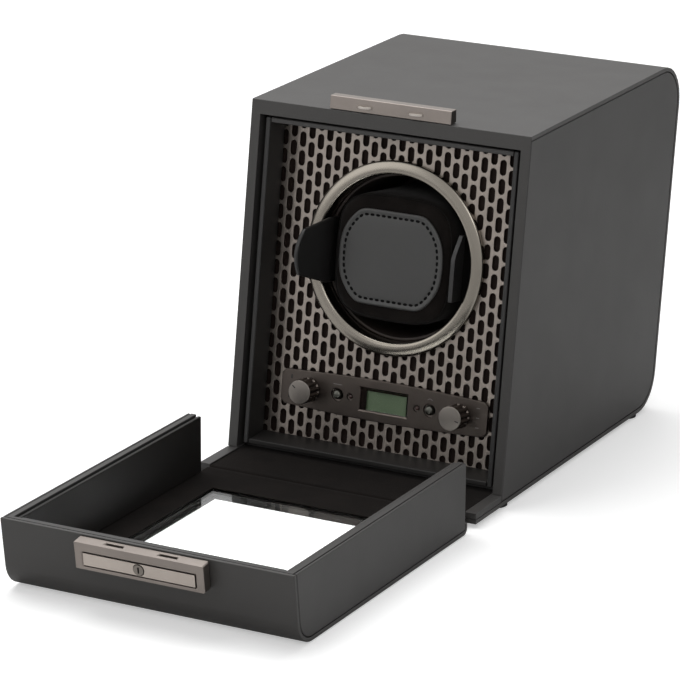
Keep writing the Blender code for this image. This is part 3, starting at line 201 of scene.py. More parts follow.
LEATHERETTE = leather("leatherette", (0.0345, 0.0325, 0.0305), 0.5)
SIDE_LEATHERETTE = leather("side_leatherette", (0.033, 0.031, 0.0298), 0.52)
# Painted shade: a darker copy of the leatherette, standing in for the shade on the side liners inside the mouth.
SHADED_LINING = leather("lining", (0.0135, 0.013, 0.0125), 0.5)
# Painted shade: a still darker, duller copy of the leatherette for the shade on the sill and on the cover's left liner.
SHADED_SILL_LINING = leather("sill_lining", (0.012, 0.011, 0.0103), 0.55)
SHADED_SILL_LINING.shader.inputs["Specular IOR Level"].default_value = 0.25
FELT = cloth("felt", (0.0056, 0.0041, 0.0034), 3200, 0.00012, 0.03)
GUNMETAL = satin("gunmetal", (0.315, 0.277, 0.247), 0.4)
PANEL_METAL = satin("panel_metal", (0.085, 0.072, 0.064), 0.36, (0.15, 1, 1))
KNOB_METAL = satin("knob_metal", (0.2, 0.182, 0.165), 0.33, (1, 1, 1), 0.000001)
BARREL_METAL = satin("barrel_metal", (0.11, 0.094, 0.083), 0.3, (1, 1, 1), 0.000001)
KEY_METAL = satin("key_metal", (0.1, 0.1, 0.088), 0.33, (1, 1, 1), 0.000001)
PEWTER = smooth_metal("pewter", (0.255, 0.232, 0.2), 0.24)
LATCH_METAL = satin("latch_metal", (0.25, 0.22, 0.2), 0.38)
PUSH_METAL = satin("push_metal", (0.44, 0.39, 0.35), 0.34, (0.1, 1, 1))
HOOK_METAL = smooth_metal("hook_metal", (0.5, 0.46, 0.42), 0.3)
LOCK_METAL = satin("lock_metal", (0.2, 0.18, 0.16), 0.35)
# Painted dark reflection: near-black metal for the thin caps on the keeper bar's ends.
DARK_REFLECTION_METAL = satin("keeper_end_dark_reflection", (0.045, 0.038, 0.034), 0.4)
STEEL = satin("steel", (0.55, 0.55, 0.56), 0.3)
BRONZE = satin("bronze", (0.45, 0.33, 0.16), 0.4)
BLACK_PLASTIC = plastic("black_plastic", (0.02, 0.02, 0.02), 0.5)
BACKING = plastic("backing", (0.0125, 0.0075, 0.006), 0.75)
BACKING.shader.inputs["Specular IOR Level"].default_value = 0.1
DRUM_PLASTIC = plastic("drum_plastic", (0.028, 0.019, 0.0152), 0.6)
# Painted shade and highlight: the two wings are one plastic in two copies, darker for the left wing's shade and lighter
# for the right wing's bright front edge.
SHADED_WING_PLASTIC = plastic("wing_plastic_painted_shade", (0.0055, 0.005, 0.0048), 0.42)
HIGHLIT_WING_PLASTIC = plastic("wing_plastic_painted_highlight", (0.018, 0.0175, 0.017), 0.4)
PULLEY_PLASTIC = plastic("pulley_plastic", (0.25, 0.25, 0.25), 0.4)
RUBBER = plastic("rubber", (0.015, 0.015, 0.015), 0.85, 0.00003)
CUFF_CLOTH = cloth("cuff_cloth", (0.0088, 0.007, 0.0062), 3600, 0.00008, 0.05)
PIPING = plastic("piping", (0.0075, 0.0065, 0.006), 0.85, 0.00003)
PIPING.shader.inputs["Specular IOR Level"].default_value = 0.12
PATCH_LEATHER = leather("patch_leather", (0.045, 0.0445, 0.043), 0.42, 1300, 0.00003)
THREAD = plastic("thread", (0.0025, 0.0025, 0.0025), 0.9, 0.00003)
THREAD.shader.inputs["Specular IOR Level"].default_value = 0.1
CIRCUIT = plastic("circuit", (0.02, 0.08, 0.03), 0.45)
DISPLAY = plastic("display", (0.15, 0.202, 0.122), 0.4, 0.000002)
INDICATOR = plastic("indicator", (0.05, 0.024, 0.02), 0.25, 0.000002)
MARKS = plastic("marks", (0.008, 0.008, 0.008), 0.6, 0.000002)
PALE_MARKS = plastic("pale_marks", (0.2, 0.19, 0.18), 0.5, 0.000002)


def clear(name, colour, roughness):
    """Clear pane with a trace of surface haze."""
    look = Look(name, colour, roughness, 0.0, Transmission_Weight=1.0, IOR=1.45)
    return look.gloss(look.noise(30, 2), roughness, roughness + 0.015)


GLASS = clear("window", (0.97, 0.985, 0.98), 0.0)
LENS = clear("display_lens", (0.9, 0.93, 0.9), 0.02)


# Drawing helpers, in millimetres

def circle(radius, segments, across=0.0, up=0.0):
    turn = 2 * math.pi / segments
    return [(across + radius * math.cos(turn * i), up + radius * math.sin(turn * i)) for i in range(segments)]


def rectangle(half_width, low, high):
    return [(half_width, low), (half_width, high), (-half_width, high), (-half_width, low)]


def rounded(points, radius, steps=6):
    """The outline with an arc at each corner; radius is one number or one for each corner."""
    radii = radius if isinstance(radius, (list, tuple)) else [radius] * len(points)
    outline = []
    for index, size in enumerate(radii):
        corner = Vector(points[index])
        if size <= 0:
            outline.append(tuple(corner))
            continue
        before = (Vector(points[index - 1]) - corner).normalized()
        after = (Vector(points[(index + 1) % len(points)]) - corner).normalized()
        half = before.angle(after) / 2
        centre = corner + (before + after).normalized() * (size / math.sin(half))
        start = corner + before * (size / math.tan(half)) - centre
        end = corner + after * (size / math.tan(half)) - centre
        sweep = start.angle_signed(end)
        for step in range(steps + 1):
            outline.append(tuple(centre + Matrix.Rotation(-sweep * step / steps, 2) @ start))
    return outline


def obround(across, up, half_width, half_length, steps=6):
    """A slot with round ends."""
    loop = []
    for end in (1, -1):
        for step in range(steps + 1):
            angle = math.pi * step / steps + (0 if end > 0 else math.pi)
            loop.append((across + half_width * math.cos(angle),
                         up + end * (half_length - half_width) + half_width * math.sin(angle)))
    return loop


def offset(loop, distance):
    """The closed outline moved outward by distance, for one drawn anticlockwise."""
    moved = []
    for index, point in enumerate(loop):
        before = Vector(point) - Vector(loop[index - 1])
        after = Vector(loop[(index + 1) % len(loop)]) - Vector(point)
        first = Vector((before.y, -before.x)).normalized()
        second = Vector((after.y, -after.x)).normalized()
        middle = (first + second).normalized()
        moved.append(tuple(Vector(point) + middle * (distance / max(middle.dot(first), 0.3))))
    return moved


def smooth_line(points, steps):
    """A smooth curve through the points."""
    count = len(points)
    vectors = [Vector(point) for point in points]
    line = []
    for index in range(count - 1):
        b, c = vectors[index], vectors[index + 1]
        a = vectors[index - 1] if index else b * 2 - c
        d = vectors[index + 2] if index + 2 < count else c * 2 - b
        for step in range(steps):
            t = step / steps
            line.append(tuple(0.5 * (2 * b + (c - a) * t + (2 * a - 5 * b + 4 * c - d) * t ** 2
                                     + (3 * b - a - 3 * c + d) * t ** 3)))
    line.append(tuple(vectors[-1]))
    return line


# Mesh helpers

def at(axis, point, along):
    """A drawing point in space; the drawing plane is square to the axis."""
    first, second = point
    return {"X": (along, first, second), "Y": (first, along, second), "Z": (first, second, along)}[axis]


def prism(outline, axis, start, end, holes=(), bm=None):
    """A closed prism of an outline, with holes through it."""
    bm = bm or bmesh.new()
    rims = []
    for along in (start, end):
        edges = []
        loops = []
        for loop in [outline, *holes]:
            corners = [bm.verts.new(at(axis, point, along)) for point in loop]
            edges += [bm.edges.new((corners[i - 1], corner)) for i, corner in enumerate(corners)]
            loops.append(corners)
        rims.append(loops)
        if holes:
            bmesh.ops.triangle_fill(bm, use_beauty=True, use_dissolve=False, edges=edges)
        else:
            bm.faces.new(loops[0])
    for near, far in zip(*rims):
        for index in range(len(near)):
            bm.faces.new((near[index - 1], near[index], far[index], far[index - 1]))
    return bm


def sheet_metal(outline, holes):
    """A plate with worked rims. Outline and holes are each (loop, [(offset, depth), ...]) from front to back."""
    bm = bmesh.new()
    ends = ([], [])
    for loop, steps in [outline, *holes]:
        rings = []
        for distance, depth in steps:
            rings.append([bm.verts.new(at("Y", point, depth)) for point in offset(loop, distance)])
        for near, far in zip(rings, rings[1:]):
            for index in range(len(near)):
                bm.faces.new((near[index - 1], near[index], far[index], far[index - 1]))
        for edges, ring in ((ends[0], rings[0]), (ends[1], rings[-1])):
            edges += [bm.edges.get((ring[i - 1], corner)) for i, corner in enumerate(ring)]
    for edges in ends:
        bmesh.ops.triangle_fill(bm, use_beauty=True, use_dissolve=False, edges=edges)
    return bm


def lathe(profile, segments, wave=None):
    """A closed profile of (radius, depth) turned about the local Y axis."""
    bm = bmesh.new()
    rings = []
    for radius, depth in profile:
        if radius <= 0:
            rings.append([bm.verts.new((0, depth, 0))])
            continue
        ring = []
        for index in range(segments):
            angle = 2 * math.pi * index / segments
            reach = wave(radius, depth, angle) if wave else radius
            ring.append(bm.verts.new((reach * math.cos(angle), depth, reach * math.sin(angle))))
        rings.append(ring)
    for index, far in enumerate(rings):
        near = rings[index - 1]
        if len(near) == 1 and len(far) == 1:
            continue
        for step in range(segments):
            a, b = near[(step - 1) % len(near)], near[step % len(near)]
            c, d = far[step % len(far)], far[(step - 1) % len(far)]
            corners = [a, b, c, d]
            corners = [corner for i, corner in enumerate(corners) if corner not in corners[:i]]
            bm.faces.new(corners)
    return bm


def loft(sections):
    """A closed solid through outlines of equal count, each with its place along the local Y axis."""
    bm = bmesh.new()
    rings = [[bm.verts.new(at("Y", point, along)) for point in outline] for outline, along in sections]
    for near, far in zip(rings, rings[1:]):
        for index in range(len(near)):
            bm.faces.new((near[index - 1], near[index], far[index], far[index - 1]))
    bm.faces.new(rings[0])
    bm.faces.new(rings[-1])
    return bm


def settle(piece):
    """Apply the piece's modifiers to its mesh."""
    graph = bpy.context.evaluated_depsgraph_get()
    mesh = bpy.data.meshes.new_from_object(piece.evaluated_get(graph))
    piece.modifiers.clear()
    piece.data = mesh
    return piece


def shape(name, bm, matrix=None):
    """An object from a finished bmesh."""
    if matrix:
        bmesh.ops.transform(bm, matrix=matrix, verts=bm.verts[:])
    bmesh.ops.recalc_face_normals(bm, faces=bm.faces[:])
    mesh = bpy.data.meshes.new(name)
    bm.to_mesh(mesh)
    bm.free()
    piece = bpy.data.objects.new(name, mesh)
    bpy.context.scene.collection.objects.link(piece)
    return piece


def crisp(piece, edge=0.0, segments=2, angle=30):
    """Round the edges by edge millimetres and shade the piece smoothly with flat faces kept flat."""
    if edge:
        bevel = piece.modifiers.new("edge", "BEVEL")
        bevel.width = edge / 1000
        bevel.segments = segments
        bevel.limit_method = "ANGLE"
        bevel.angle_limit = math.radians(angle)
        bevel.use_clamp_overlap = True
        settle(piece)
    piece.data.shade_smooth()
    piece.data.set_sharp_from_angle(angle=math.radians(40))
    piece.modifiers.new("flat", "WEIGHTED_NORMAL").keep_sharp = True
    return settle(piece)


def finish_piece(piece, look, node):
    """Give the piece its material and body, and hide the node that it stands for."""
    piece.data.materials.clear()
    piece.data.materials.append(look.material)
    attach(piece, BODY[node])
    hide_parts(node)
    return piece


def dressed(node, look, edge, segments=3):
    """A copy of a node's mesh with rounded edges."""
    bm = bmesh.new()
    bm.from_mesh(NODES[node].data)
    bmesh.ops.remove_doubles(bm, verts=bm.verts[:], dist=0.000005)
    bmesh.ops.dissolve_limit(bm, angle_limit=math.radians(0.5), verts=bm.verts[:], edges=bm.edges[:])
    piece = crisp(shape(f"shown_{node}", bm), edge, segments)
    return finish_piece(piece, look, node)


# Case and cover shells

def shells():
    """Boards with their edges rounded as covered boards are."""
    for node in ("case_wrap", "cover_wrap"):
        dressed(node, LEATHERETTE, 0.5)
    for node in ("side_panel_left", "side_panel_right", "cover_side_left", "cover_side_right"):
        dressed(node, SIDE_LEATHERETTE, 0.25, 2)
    for node in ("case_carcass", "cover_frame", "ledge_board", "hinge_spine"):
        dressed(node, SIDE_LEATHERETTE, 0.25, 2)
    # The side liners take the darker copy of the leatherette: painted shade inside the mouth.
    for node in ("liner_left", "liner_right"):
        dressed(node, SHADED_LINING, 0.3)
    # The sill and the cover's left liner take the darkest copy: painted shade; the other liners keep the side
    # leatherette.
    for node in ("liner_sill", "cover_liner_left"):
        dressed(node, SHADED_SILL_LINING, 0.4)
    for node in ("liner_top", "cover_liner_right", "cover_liner_front"):
        dressed(node, SIDE_LEATHERETTE, 0.4)
    dressed("latch_body", LATCH_METAL, 0.35, 2)
    dressed("latch_push_plate", PUSH_METAL, 0.15, 2)


def binding():
    """Covering turned over the front edge of the case, from one side of the ledge round to the other."""
    top, inner_top = 172.6, 165.7
    outline = [(74.9, 0), (74.9, top), (-74.9, top), (-74.9, 0), (-70, 0), (-70, inner_top), (70, inner_top), (70, 0)]
    strip = crisp(shape("front_binding", prism(outline, "Y", -0.18, 0.1), OPENING), 0.12, 2)
    strip.data.materials.append(LEATHERETTE.material)
    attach(strip, "case")


def window_trim():
    """Covering turned into the window's reveal below the glass."""
    half, low, high = 53.45, -150.81, -27.25
    outer = [(half, low), (half, high), (-half, high), (-half, low)]
    def inset(width, depth):
        return [(x - math.copysign(width, x), y + depth if y == low else y - depth) for x, y in outer]

    reveal = prism(outer, "Z", 1.0, 3.55, [inset(1.4, 1.4)])
    prism(outer, "Z", 0.4, 0.98, [inset(3.6, 1.6)], bm=reveal)
    trim = crisp(shape("window_trim", reveal, CASE), 0.15, 2)
    trim.data.materials.append(SIDE_LEATHERETTE.material)
    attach(trim, "cover")


def keeper():
    """Bar on the top edge with two half-round hooks, and thin near-black caps on its ends that paint the dark
    reflection of the end faces.
    """
    slope = math.tan(TILT)
    low, high = 178.8, 185.2
    front = [28 + (z - 7.5) * slope for z in (low, high)]
    outline = [(front[0], low), (front[0] + 6, low), (front[0] + 6, high), (front[1], high)]
    bar = crisp(shape("shown_keeper_bar", prism(outline, "X", -32.5, 32.5), CASE), 0.3, 3)
    finish_piece(bar, LATCH_METAL, "keeper_bar")
    # Thin near-black caps on both ends of the bar paint the dark reflection that the end faces show; they stand for no
    # part.
    ends = bmesh.new()
    for start in (-32.55, 32.5):
        prism(offset(outline, -0.35), "X", start, start + 0.05, bm=ends)
    reflection_caps = shape("keeper_ends_dark_reflection", ends, CASE)
    reflection_caps.data.materials.append(DARK_REFLECTION_METAL.material)
    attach(reflection_caps, "case")
    edge = 28 + (181.6 - 7.5) * slope
    for sign, side in ((-1, "left"), (1, "right")):
        arc = [(sign * 13.7 + 4 * math.cos(math.pi * i / 20), edge + 0.4 - 2.55 * math.sin(math.pi * i / 20))
               for i in range(21)]
        tab = [(sign * 13.7 - 4, edge + 1.6), (sign * 13.7 + 4, edge + 1.6), *arc]
        hook = crisp(shape(f"keeper_hook_{side}", prism(tab, "Z", 181.05, 182.15), CASE), 0.15, 2)
        hook.data.materials.append(HOOK_METAL.material)
        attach(hook, "case")


# Front plate

HOLE_COLUMN = 4.93
HOLE_PITCH = 9.22
HOLE_START = (-1.13, 1.45)
HOLE_HALF = (1.7, 3.825)
PLATE_SPAN = (4.85, 166.5)
PLATE_HALF = 68.0
PLATE_FRONT, PLATE_BACK = 18.5, 19.5
BORE = 43.486
DRUM_RISE = 102.303
CONTROL_RISE = 31.193
CUTOUT_HALF = (50.5, 7.2)


def front_plate():
    """Perforated sheet: whole slots with pressed rims, and slots that the openings cut into."""
    whole = []
    cut = []
    low_end, high_end = PLATE_SPAN[0] + 0.7, PLATE_SPAN[1] - 0.7
    for column in range(-13, 14):
        across = HOLE_START[0] + column * HOLE_COLUMN
        for row in range(0, 19):
            up = HOLE_START[1] + (row + (0.5 if column % 2 else 0)) * HOLE_PITCH
            if up - HOLE_HALF[1] > high_end - 1.5 or up + HOLE_HALF[1] < low_end + 1.5:
                continue
            height = abs(up - DRUM_RISE)
            near = math.hypot(max(abs(across) - HOLE_HALF[0], 0), max(height - HOLE_HALF[1], 0))
            far = math.hypot(abs(across) + HOLE_HALF[0], height + HOLE_HALF[1])
            drop = abs(up - CONTROL_RISE)
            beside = abs(across) > CUTOUT_HALF[0] + HOLE_HALF[0] + 0.3
            clear_of_cutout = beside or drop > CUTOUT_HALF[1] + HOLE_HALF[1] + 0.3
            inside_cutout = abs(across) < CUTOUT_HALF[0] - HOLE_HALF[0] and drop < CUTOUT_HALF[1] - HOLE_HALF[1]
            if far < BORE or inside_cutout:
                continue
            loop = obround(across, up, *HOLE_HALF)
            top, foot = up + HOLE_HALF[1], up - HOLE_HALF[1]
            if foot < low_end:
                loop = obround(across, (top + low_end) / 2, HOLE_HALF[0], (top - low_end) / 2)
            elif top > high_end:
                loop = obround(across, (foot + high_end) / 2, HOLE_HALF[0], (high_end - foot) / 2)
            if near > BORE + 0.3 and clear_of_cutout:
                whole.append(loop)
            else:
                cut.append(loop)
    rim = [(0, PLATE_FRONT), (0, PLATE_BACK)]
    pressed = [(0.12, PLATE_FRONT), (0.03, PLATE_FRONT + 0.05), (0, PLATE_FRONT + 0.16), (0, PLATE_BACK)]
    outline = (rectangle(PLATE_HALF, *PLATE_SPAN), rim)
    holes = [(circle(BORE, 96, 0, DRUM_RISE), rim)]
    low, high = CONTROL_RISE - CUTOUT_HALF[1], CONTROL_RISE + CUTOUT_HALF[1]
    holes.append((rectangle(CUTOUT_HALF[0], low, high), rim))
    holes += [(loop, pressed) for loop in whole]
    plate = shape("shown_faceplate", sheet_metal(outline, holes), OPENING)
    cutter_mesh = bmesh.new()
    for loop in cut:
        prism(loop, "Y", PLATE_FRONT - 1, PLATE_BACK + 1, bm=cutter_mesh)
    cutter = shape("slot_cutter", cutter_mesh, OPENING)
    tool = plate.modifiers.new("slots", "BOOLEAN")
    tool.operation = "DIFFERENCE"
    tool.solver = "EXACT"
    tool.object = cutter
    settle(plate)
    bpy.data.objects.remove(cutter)
    finish_piece(crisp(plate), GUNMETAL, "faceplate")


def ring():
    """Domed ring round the drum's mouth."""
    inner, outer, crown = 41.186, 47.886, 15.0
    width = outer - inner
    dome = [(inner + width * a, crown + width * b)
            for a, b in ((0.0, 0.165), (0.035, 0.095), (0.1, 0.035), (0.22, -0.005), (0.38, -0.012), (0.56, 0.004),
                         (0.72, 0.036), (0.86, 0.08), (0.95, 0.13), (1.0, 0.2))]
    profile = [(inner, 24.0), *smooth_line(dome, 4), (outer, 18.2), (43.186, 18.2), (43.186, 24.0)]
    bezel = shape("shown_ring_bezel", lathe(profile, 160), DRUM)
    finish_piece(crisp(bezel), PEWTER, "ring_bezel")


# Controls

def bowed_panel():
    """Outline of the control panel, its long edges bowed outward."""
    half, rise, bow, corner = 56.5, 8.75, 1.6, 2.2
    steps = 24
    span = 2 * (half - corner)
    top = [(half - corner - span * i / steps, rise + bow * math.sin(math.pi * i / steps)) for i in range(steps + 1)]
    bottom = [(x, -z) for x, z in reversed(top)]
    left = [(-half, rise - corner), (-half, corner - rise)]
    right = [(half, corner - rise), (half, rise - corner)]
    return top + left + bottom + right


def control_panel():
    """Panel with rolled edges, worked openings and generic marks."""
    front, back = 16.5, 18.2
    outline = (bowed_panel(), [(-0.45, front), (-0.15, front + 0.1), (0, front + 0.4), (0, back)])
    holes = [(rectangle(12.85, -5.4, 5.4), [(0.7, front), (0.15, front + 0.5), (0, front + 0.7), (0, back)])]
    for place, radius, sink in ((41.132, 2.9, 0.2), (25.3, 2.5, 0.95), (18.3, 1.3, 0.5)):
        for sign in (-1, 1):
            steps = [(sink, front), (sink * 0.85, front + 0.12), (sink * 0.78, front + 1.1), (0, front + 1.25),
                     (0, back)]
            holes.append((circle(radius, 40, sign * place), steps))
    panel = shape("shown_control_panel", sheet_metal(outline, holes), CONTROLS)
    finish_piece(crisp(panel), PANEL_METAL, "control_panel")
    sunk = front + 0.52
    # Thin dark sheet over the display's left side and top: painted shade of the recess walls, in the backing's colour.
    shaded_band = [(-12.75, -5.3), (-12.75, 5.3), (12.75, 5.3), (12.75, 4.5), (-9.3, 4.5), (-9.3, -5.3)]
    painted_shade_sheet = shape("display_painted_shade", prism(shaded_band, "Y", sunk, sunk + 0.05), CONTROLS)
    painted_shade_sheet.data.materials.append(BACKING.material)
    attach(painted_shade_sheet, "case")
    dark = bmesh.new()
    for up in (5.2, 0.4, -4.4):
        prism([(x - 51.4 + 0.1 * up, z + up) for x, z in rectangle(0.38, -1.05, 1.05)], "Y", front - 0.015, front + 0.2,
              bm=dark)
    pale = bmesh.new()
    prism([(x - 25.3, z) for x, z in rectangle(2.4, 5.0, 5.3)], "Y", front - 0.015, front + 0.2, bm=pale)
    arc = [(25.3 + r * math.cos(a), 4.2 + r * math.sin(a)) for r, turns in ((1.7, range(9)), (1.4, range(8, -1, -1)))
           for a in (math.radians(35 + 110 * i / 8) for i in turns)]
    prism(arc, "Y", front - 0.015, front + 0.2, bm=pale)
    for up in (5.2, 0.4, -4.4):
        prism([(x + 51.3, z + up) for x, z in rectangle(0.9, -0.18, 0.18)], "Y", front - 0.015, front + 0.2, bm=pale)
    for name, drawn, look in (("dark", dark, MARKS), ("pale", pale, PALE_MARKS)):
        piece = shape(f"panel_marks_{name}", drawn, CONTROLS)
        piece.data.materials.append(look.material)
        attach(piece, "case")


def knob(node, across, pointer):
    """Knob with a dished face, a bright rim, wide flutes and a pointer line."""
    front, rear = 6.4, 16.2
    radius = 6.1
    flutes = 12

    def wave(reach, depth, angle):
        if reach < radius - 0.35 or depth > rear - 0.6:
            return reach
        swing = 0.5 + 0.5 * math.cos(flutes * angle)
        return reach - 0.85 * swing ** 1.5 * min(1, (depth - front) / 0.9)

    profile = [
        (0, front + 0.02), (5.2, front + 0.02), (5.35, front), (5.6, front), (5.85, front + 0.22), (6.1, front + 0.6),
        (6.1, front + 1.0), (6.1, rear - 0.9), (6.1, rear - 0.5), (5.95, rear), (2.6, rear), (2.6, 19.9), (0, 19.9),
    ]
    place = CONTROLS @ Matrix.Translation((across, 0, 0))
    piece = shape(f"shown_{node}", lathe(profile, 144, wave), place)
    finish_piece(crisp(piece), BARREL_METAL, node)
    cap = lathe([(0, front - 0.03), (5.62, front - 0.03), (5.9, front + 0.2), (5.9, front + 0.4), (0, front + 0.4)], 96)
    face = shape(f"shown_{node}_face", cap, place)
    face.data.materials.append(KNOB_METAL.material)
    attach(crisp(face), node)
    line = prism(rounded(rectangle(0.3, 2.9, 5.0), 0.25), "Y", front - 0.045, front + 0.3)
    bmesh.ops.rotate(line, verts=line.verts[:], cent=(0, 0, 0), matrix=Matrix.Rotation(math.radians(pointer), 3, "Y"))
    tick = shape(f"shown_{node}_pointer", line, place)
    tick.data.materials.append(MARKS.material)
    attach(crisp(tick), node)


def button(node, across):
    """Domed key."""
    front = 16.5 - 1.4
    dome = [(0.8, front + 0.06), (1.5, front + 0.22), (2.0, front + 0.55), (2.2, front + 1.0)]
    profile = [(0, front), *smooth_line(dome, 4), (2.2, 20.2), (0, 20.2)]
    piece = shape(f"shown_{node}", lathe(profile, 48), CONTROLS @ Matrix.Translation((across, 0, 0)))
    finish_piece(crisp(piece), KEY_METAL, node)


def indicator(node, across):
    """Small domed light pipe."""
    front = 16.95
    profile = [(0, front - 0.12), (0.5, front - 0.08), (0.85, front + 0.05), (1.0, front + 0.3), (1.0, 29.9), (0, 29.9)]
    piece = shape(f"shown_{node}", lathe(profile, 32), CONTROLS @ Matrix.Translation((across, 0, 0)))
    finish_piece(crisp(piece), INDICATOR, node)


def controls():
    control_panel()
    for side, sign, pointer in (("left", -1, -52), ("right", 1, 105)):
        knob(f"knob_{side}", sign * 41.132, pointer)
        button(f"button_{side}", sign * 25.3)
        indicator(f"indicator_{side}", sign * 18.3)


# Drum and cuff

def drum():
    """Cup behind the ring, its lip rounded."""
    profile = [(39.586, 25.2), (39.7, 24.75), (40.1, 24.5), (40.7, 24.5), (41.05, 24.7), (41.186, 25.1),
               (41.186, 83.1), (3.3, 83.1), (3.3, 80.6), (39.586, 80.6)]
    finish_piece(crisp(shape("shown_drum", lathe(profile, 128), DRUM)), DRUM_PLASTIC, "drum")


def barrel(radius, half_width, half_height, sharpness, count=96):
    """A circle pressed flat at its sides, top and bottom; a low sharpness rounds the corners more."""
    def pressed(value, limit):
        return value / (1 + abs(value / limit) ** sharpness) ** (1 / sharpness)

    return [(pressed(x, half_width), pressed(z, half_height)) for x, z in circle(radius, count)]


def swell(piece, voxel, cap):
    """Fill the piece by a cloth simulation with inner pressure; no point moves more than cap metres."""
    remesh = piece.modifiers.new("remesh", "REMESH")
    remesh.mode = "VOXEL"
    remesh.voxel_size = voxel
    settle(piece)
    start = np.array([vertex.co for vertex in piece.data.vertices])
    fabric = piece.modifiers.new("fill", "CLOTH")
    fabric.settings.use_pressure = True
    fabric.settings.uniform_pressure_force = 4
    fabric.settings.effector_weights.gravity = 0
    scene = bpy.context.scene
    for step in range(1, 21):
        scene.frame_set(step)
    filled = piece.evaluated_get(bpy.context.evaluated_depsgraph_get()).data
    move = np.array([vertex.co for vertex in filled.vertices]) - start
    reach = np.linalg.norm(move, axis=1, keepdims=True)
    move *= np.minimum(1, cap / np.maximum(reach, 1e-9))
    piece.modifiers.clear()
    scene.frame_set(1)
    for vertex, place in zip(piece.data.vertices, start + move):
        vertex.co = place
    piece.modifiers.new("smooth", "SUBSURF").levels = 1
    return settle(piece)


def cuff():
    """Foam cuff in velour: swelled, held to the room between the wings, and piped along its front edge."""
    reach, half_width, half_height, crown = 37.2, 32.2, 31.6, 7.5
    front, rear = 13.6, 77.7
    shares = ((0.55, 0.0), (0.42, 0.03), (0.3, 0.075), (0.18, 0.15), (0.09, 0.26), (0.03, 0.4), (0.0, 0.6))

    def outline(inset):
        return barrel(reach - inset, half_width - inset, half_height - inset, 11)

    sections = [(outline(crown * inward), front + crown * back) for inward, back in shares]
    straight = rear - front - crown * 1.2
    sections += [(outline(0), front + crown * 0.6 + straight * share) for share in (0.25, 0.5, 0.75)]
    sections += [(outline(crown * inward), rear - crown * back) for inward, back in reversed(shares)]
    piece = shape("shown_cuff_body", loft(sections), DRUM)
    swell(piece, 0.0024, 0.0012)
    place = DRUM.inverted()
    for vertex in piece.data.vertices:
        x, depth, z = place @ vertex.co
        length = math.hypot(x, z)
        shrink = min(1, 37.55 / max(length, 1))
        x = max(-32.55, min(32.55, x * shrink))
        z = max(-31.95, min(31.95, z * shrink))
        vertex.co = DRUM @ Vector((x, max(13.32, min(77.95, depth)), z))
    finish_piece(crisp(piece), CUFF_CLOTH, "cuff_body")
    rings = []
    path = barrel(36.4, 31.5, 30.9, 11)
    for index in range(8):
        angle = 2 * math.pi * index / 8
        rings.append((offset(path, 0.3 * math.cos(angle)), 15.7 + 0.3 * math.sin(angle)))
    tube = bmesh.new()
    loops = [[tube.verts.new((x, depth, z)) for x, z in loop] for loop, depth in rings]
    for near, far in zip(loops, loops[1:] + loops[:1]):
        for index in range(len(near)):
            tube.faces.new((near[index - 1], near[index], far[index], far[index - 1]))
    seam = shape("cuff_piping", tube, DRUM)
    seam.data.shade_smooth()
    seam.data.materials.append(PIPING.material)
    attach(seam, "cuff")


def patch():
    """Patch with a raised rim and a row of stitches; its face is bare."""
    front, back = 11.8, 13.0
    reach, half_width, half_height = 28.9, 28.7, 23.5

    def outline(inset):
        return barrel(reach - inset, half_width - inset, half_height - inset, 26)

    rings = [(0.0, back), (0.0, front + 0.7), (0.2, front + 0.4), (0.6, front + 0.18), (1.1, front + 0.15),
             (1.8, front + 0.3), (2.3, front + 0.5), (2.9, front + 0.6), (3.5, front + 0.5), (4.4, front + 0.36),
             (7.0, front + 0.3), (14.0, front + 0.26)]
    piece = shape("shown_cuff_patch", loft([(outline(inset), depth) for inset, depth in rings]), DRUM)
    finish_piece(crisp(piece), PATCH_LEATHER, "cuff_patch")
    path = outline(2.9)
    runs = []
    length = 0.0
    for index, point in enumerate(path):
        start = Vector(path[index - 1])
        step = Vector(point) - start
        if step.length > 0:
            runs.append((length, start, step))
            length += step.length
    count = round(length / 3.1)
    stitches = bmesh.new()
    for index in range(count):
        along = length * index / count
        base, start, step = [run for run in runs if run[0] <= along][-1]
        centre = start + step.normalized() * (along - base)
        turn = Matrix.Rotation(math.atan2(step.y, step.x) - math.pi / 2, 2)
        rings = []
        for size, depth in ((1.15, front + 0.75), (1.15, front + 0.48), (0.85, front + 0.34)):
            loop = [centre + turn @ (Vector(corner) * size) for corner in obround(0, 0, 0.55, 0.95, 4)]
            rings.append([stitches.verts.new((x, depth, z)) for x, z in loop])
        for near, far in zip(rings, rings[1:]):
            for i in range(len(near)):
                stitches.faces.new((near[i - 1], near[i], far[i], far[i - 1]))
        stitches.faces.new(rings[0])
        stitches.faces.new(rings[-1])
    row = shape("patch_stitches", stitches, DRUM)
    row.data.shade_smooth()
    row.data.materials.append(THREAD.material)
    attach(row, "cuff")


WING_PLACE = 34.0
WING_STRIPS = 14
WING_THICKNESS = 0.0022
WING_EDGE = 0.8


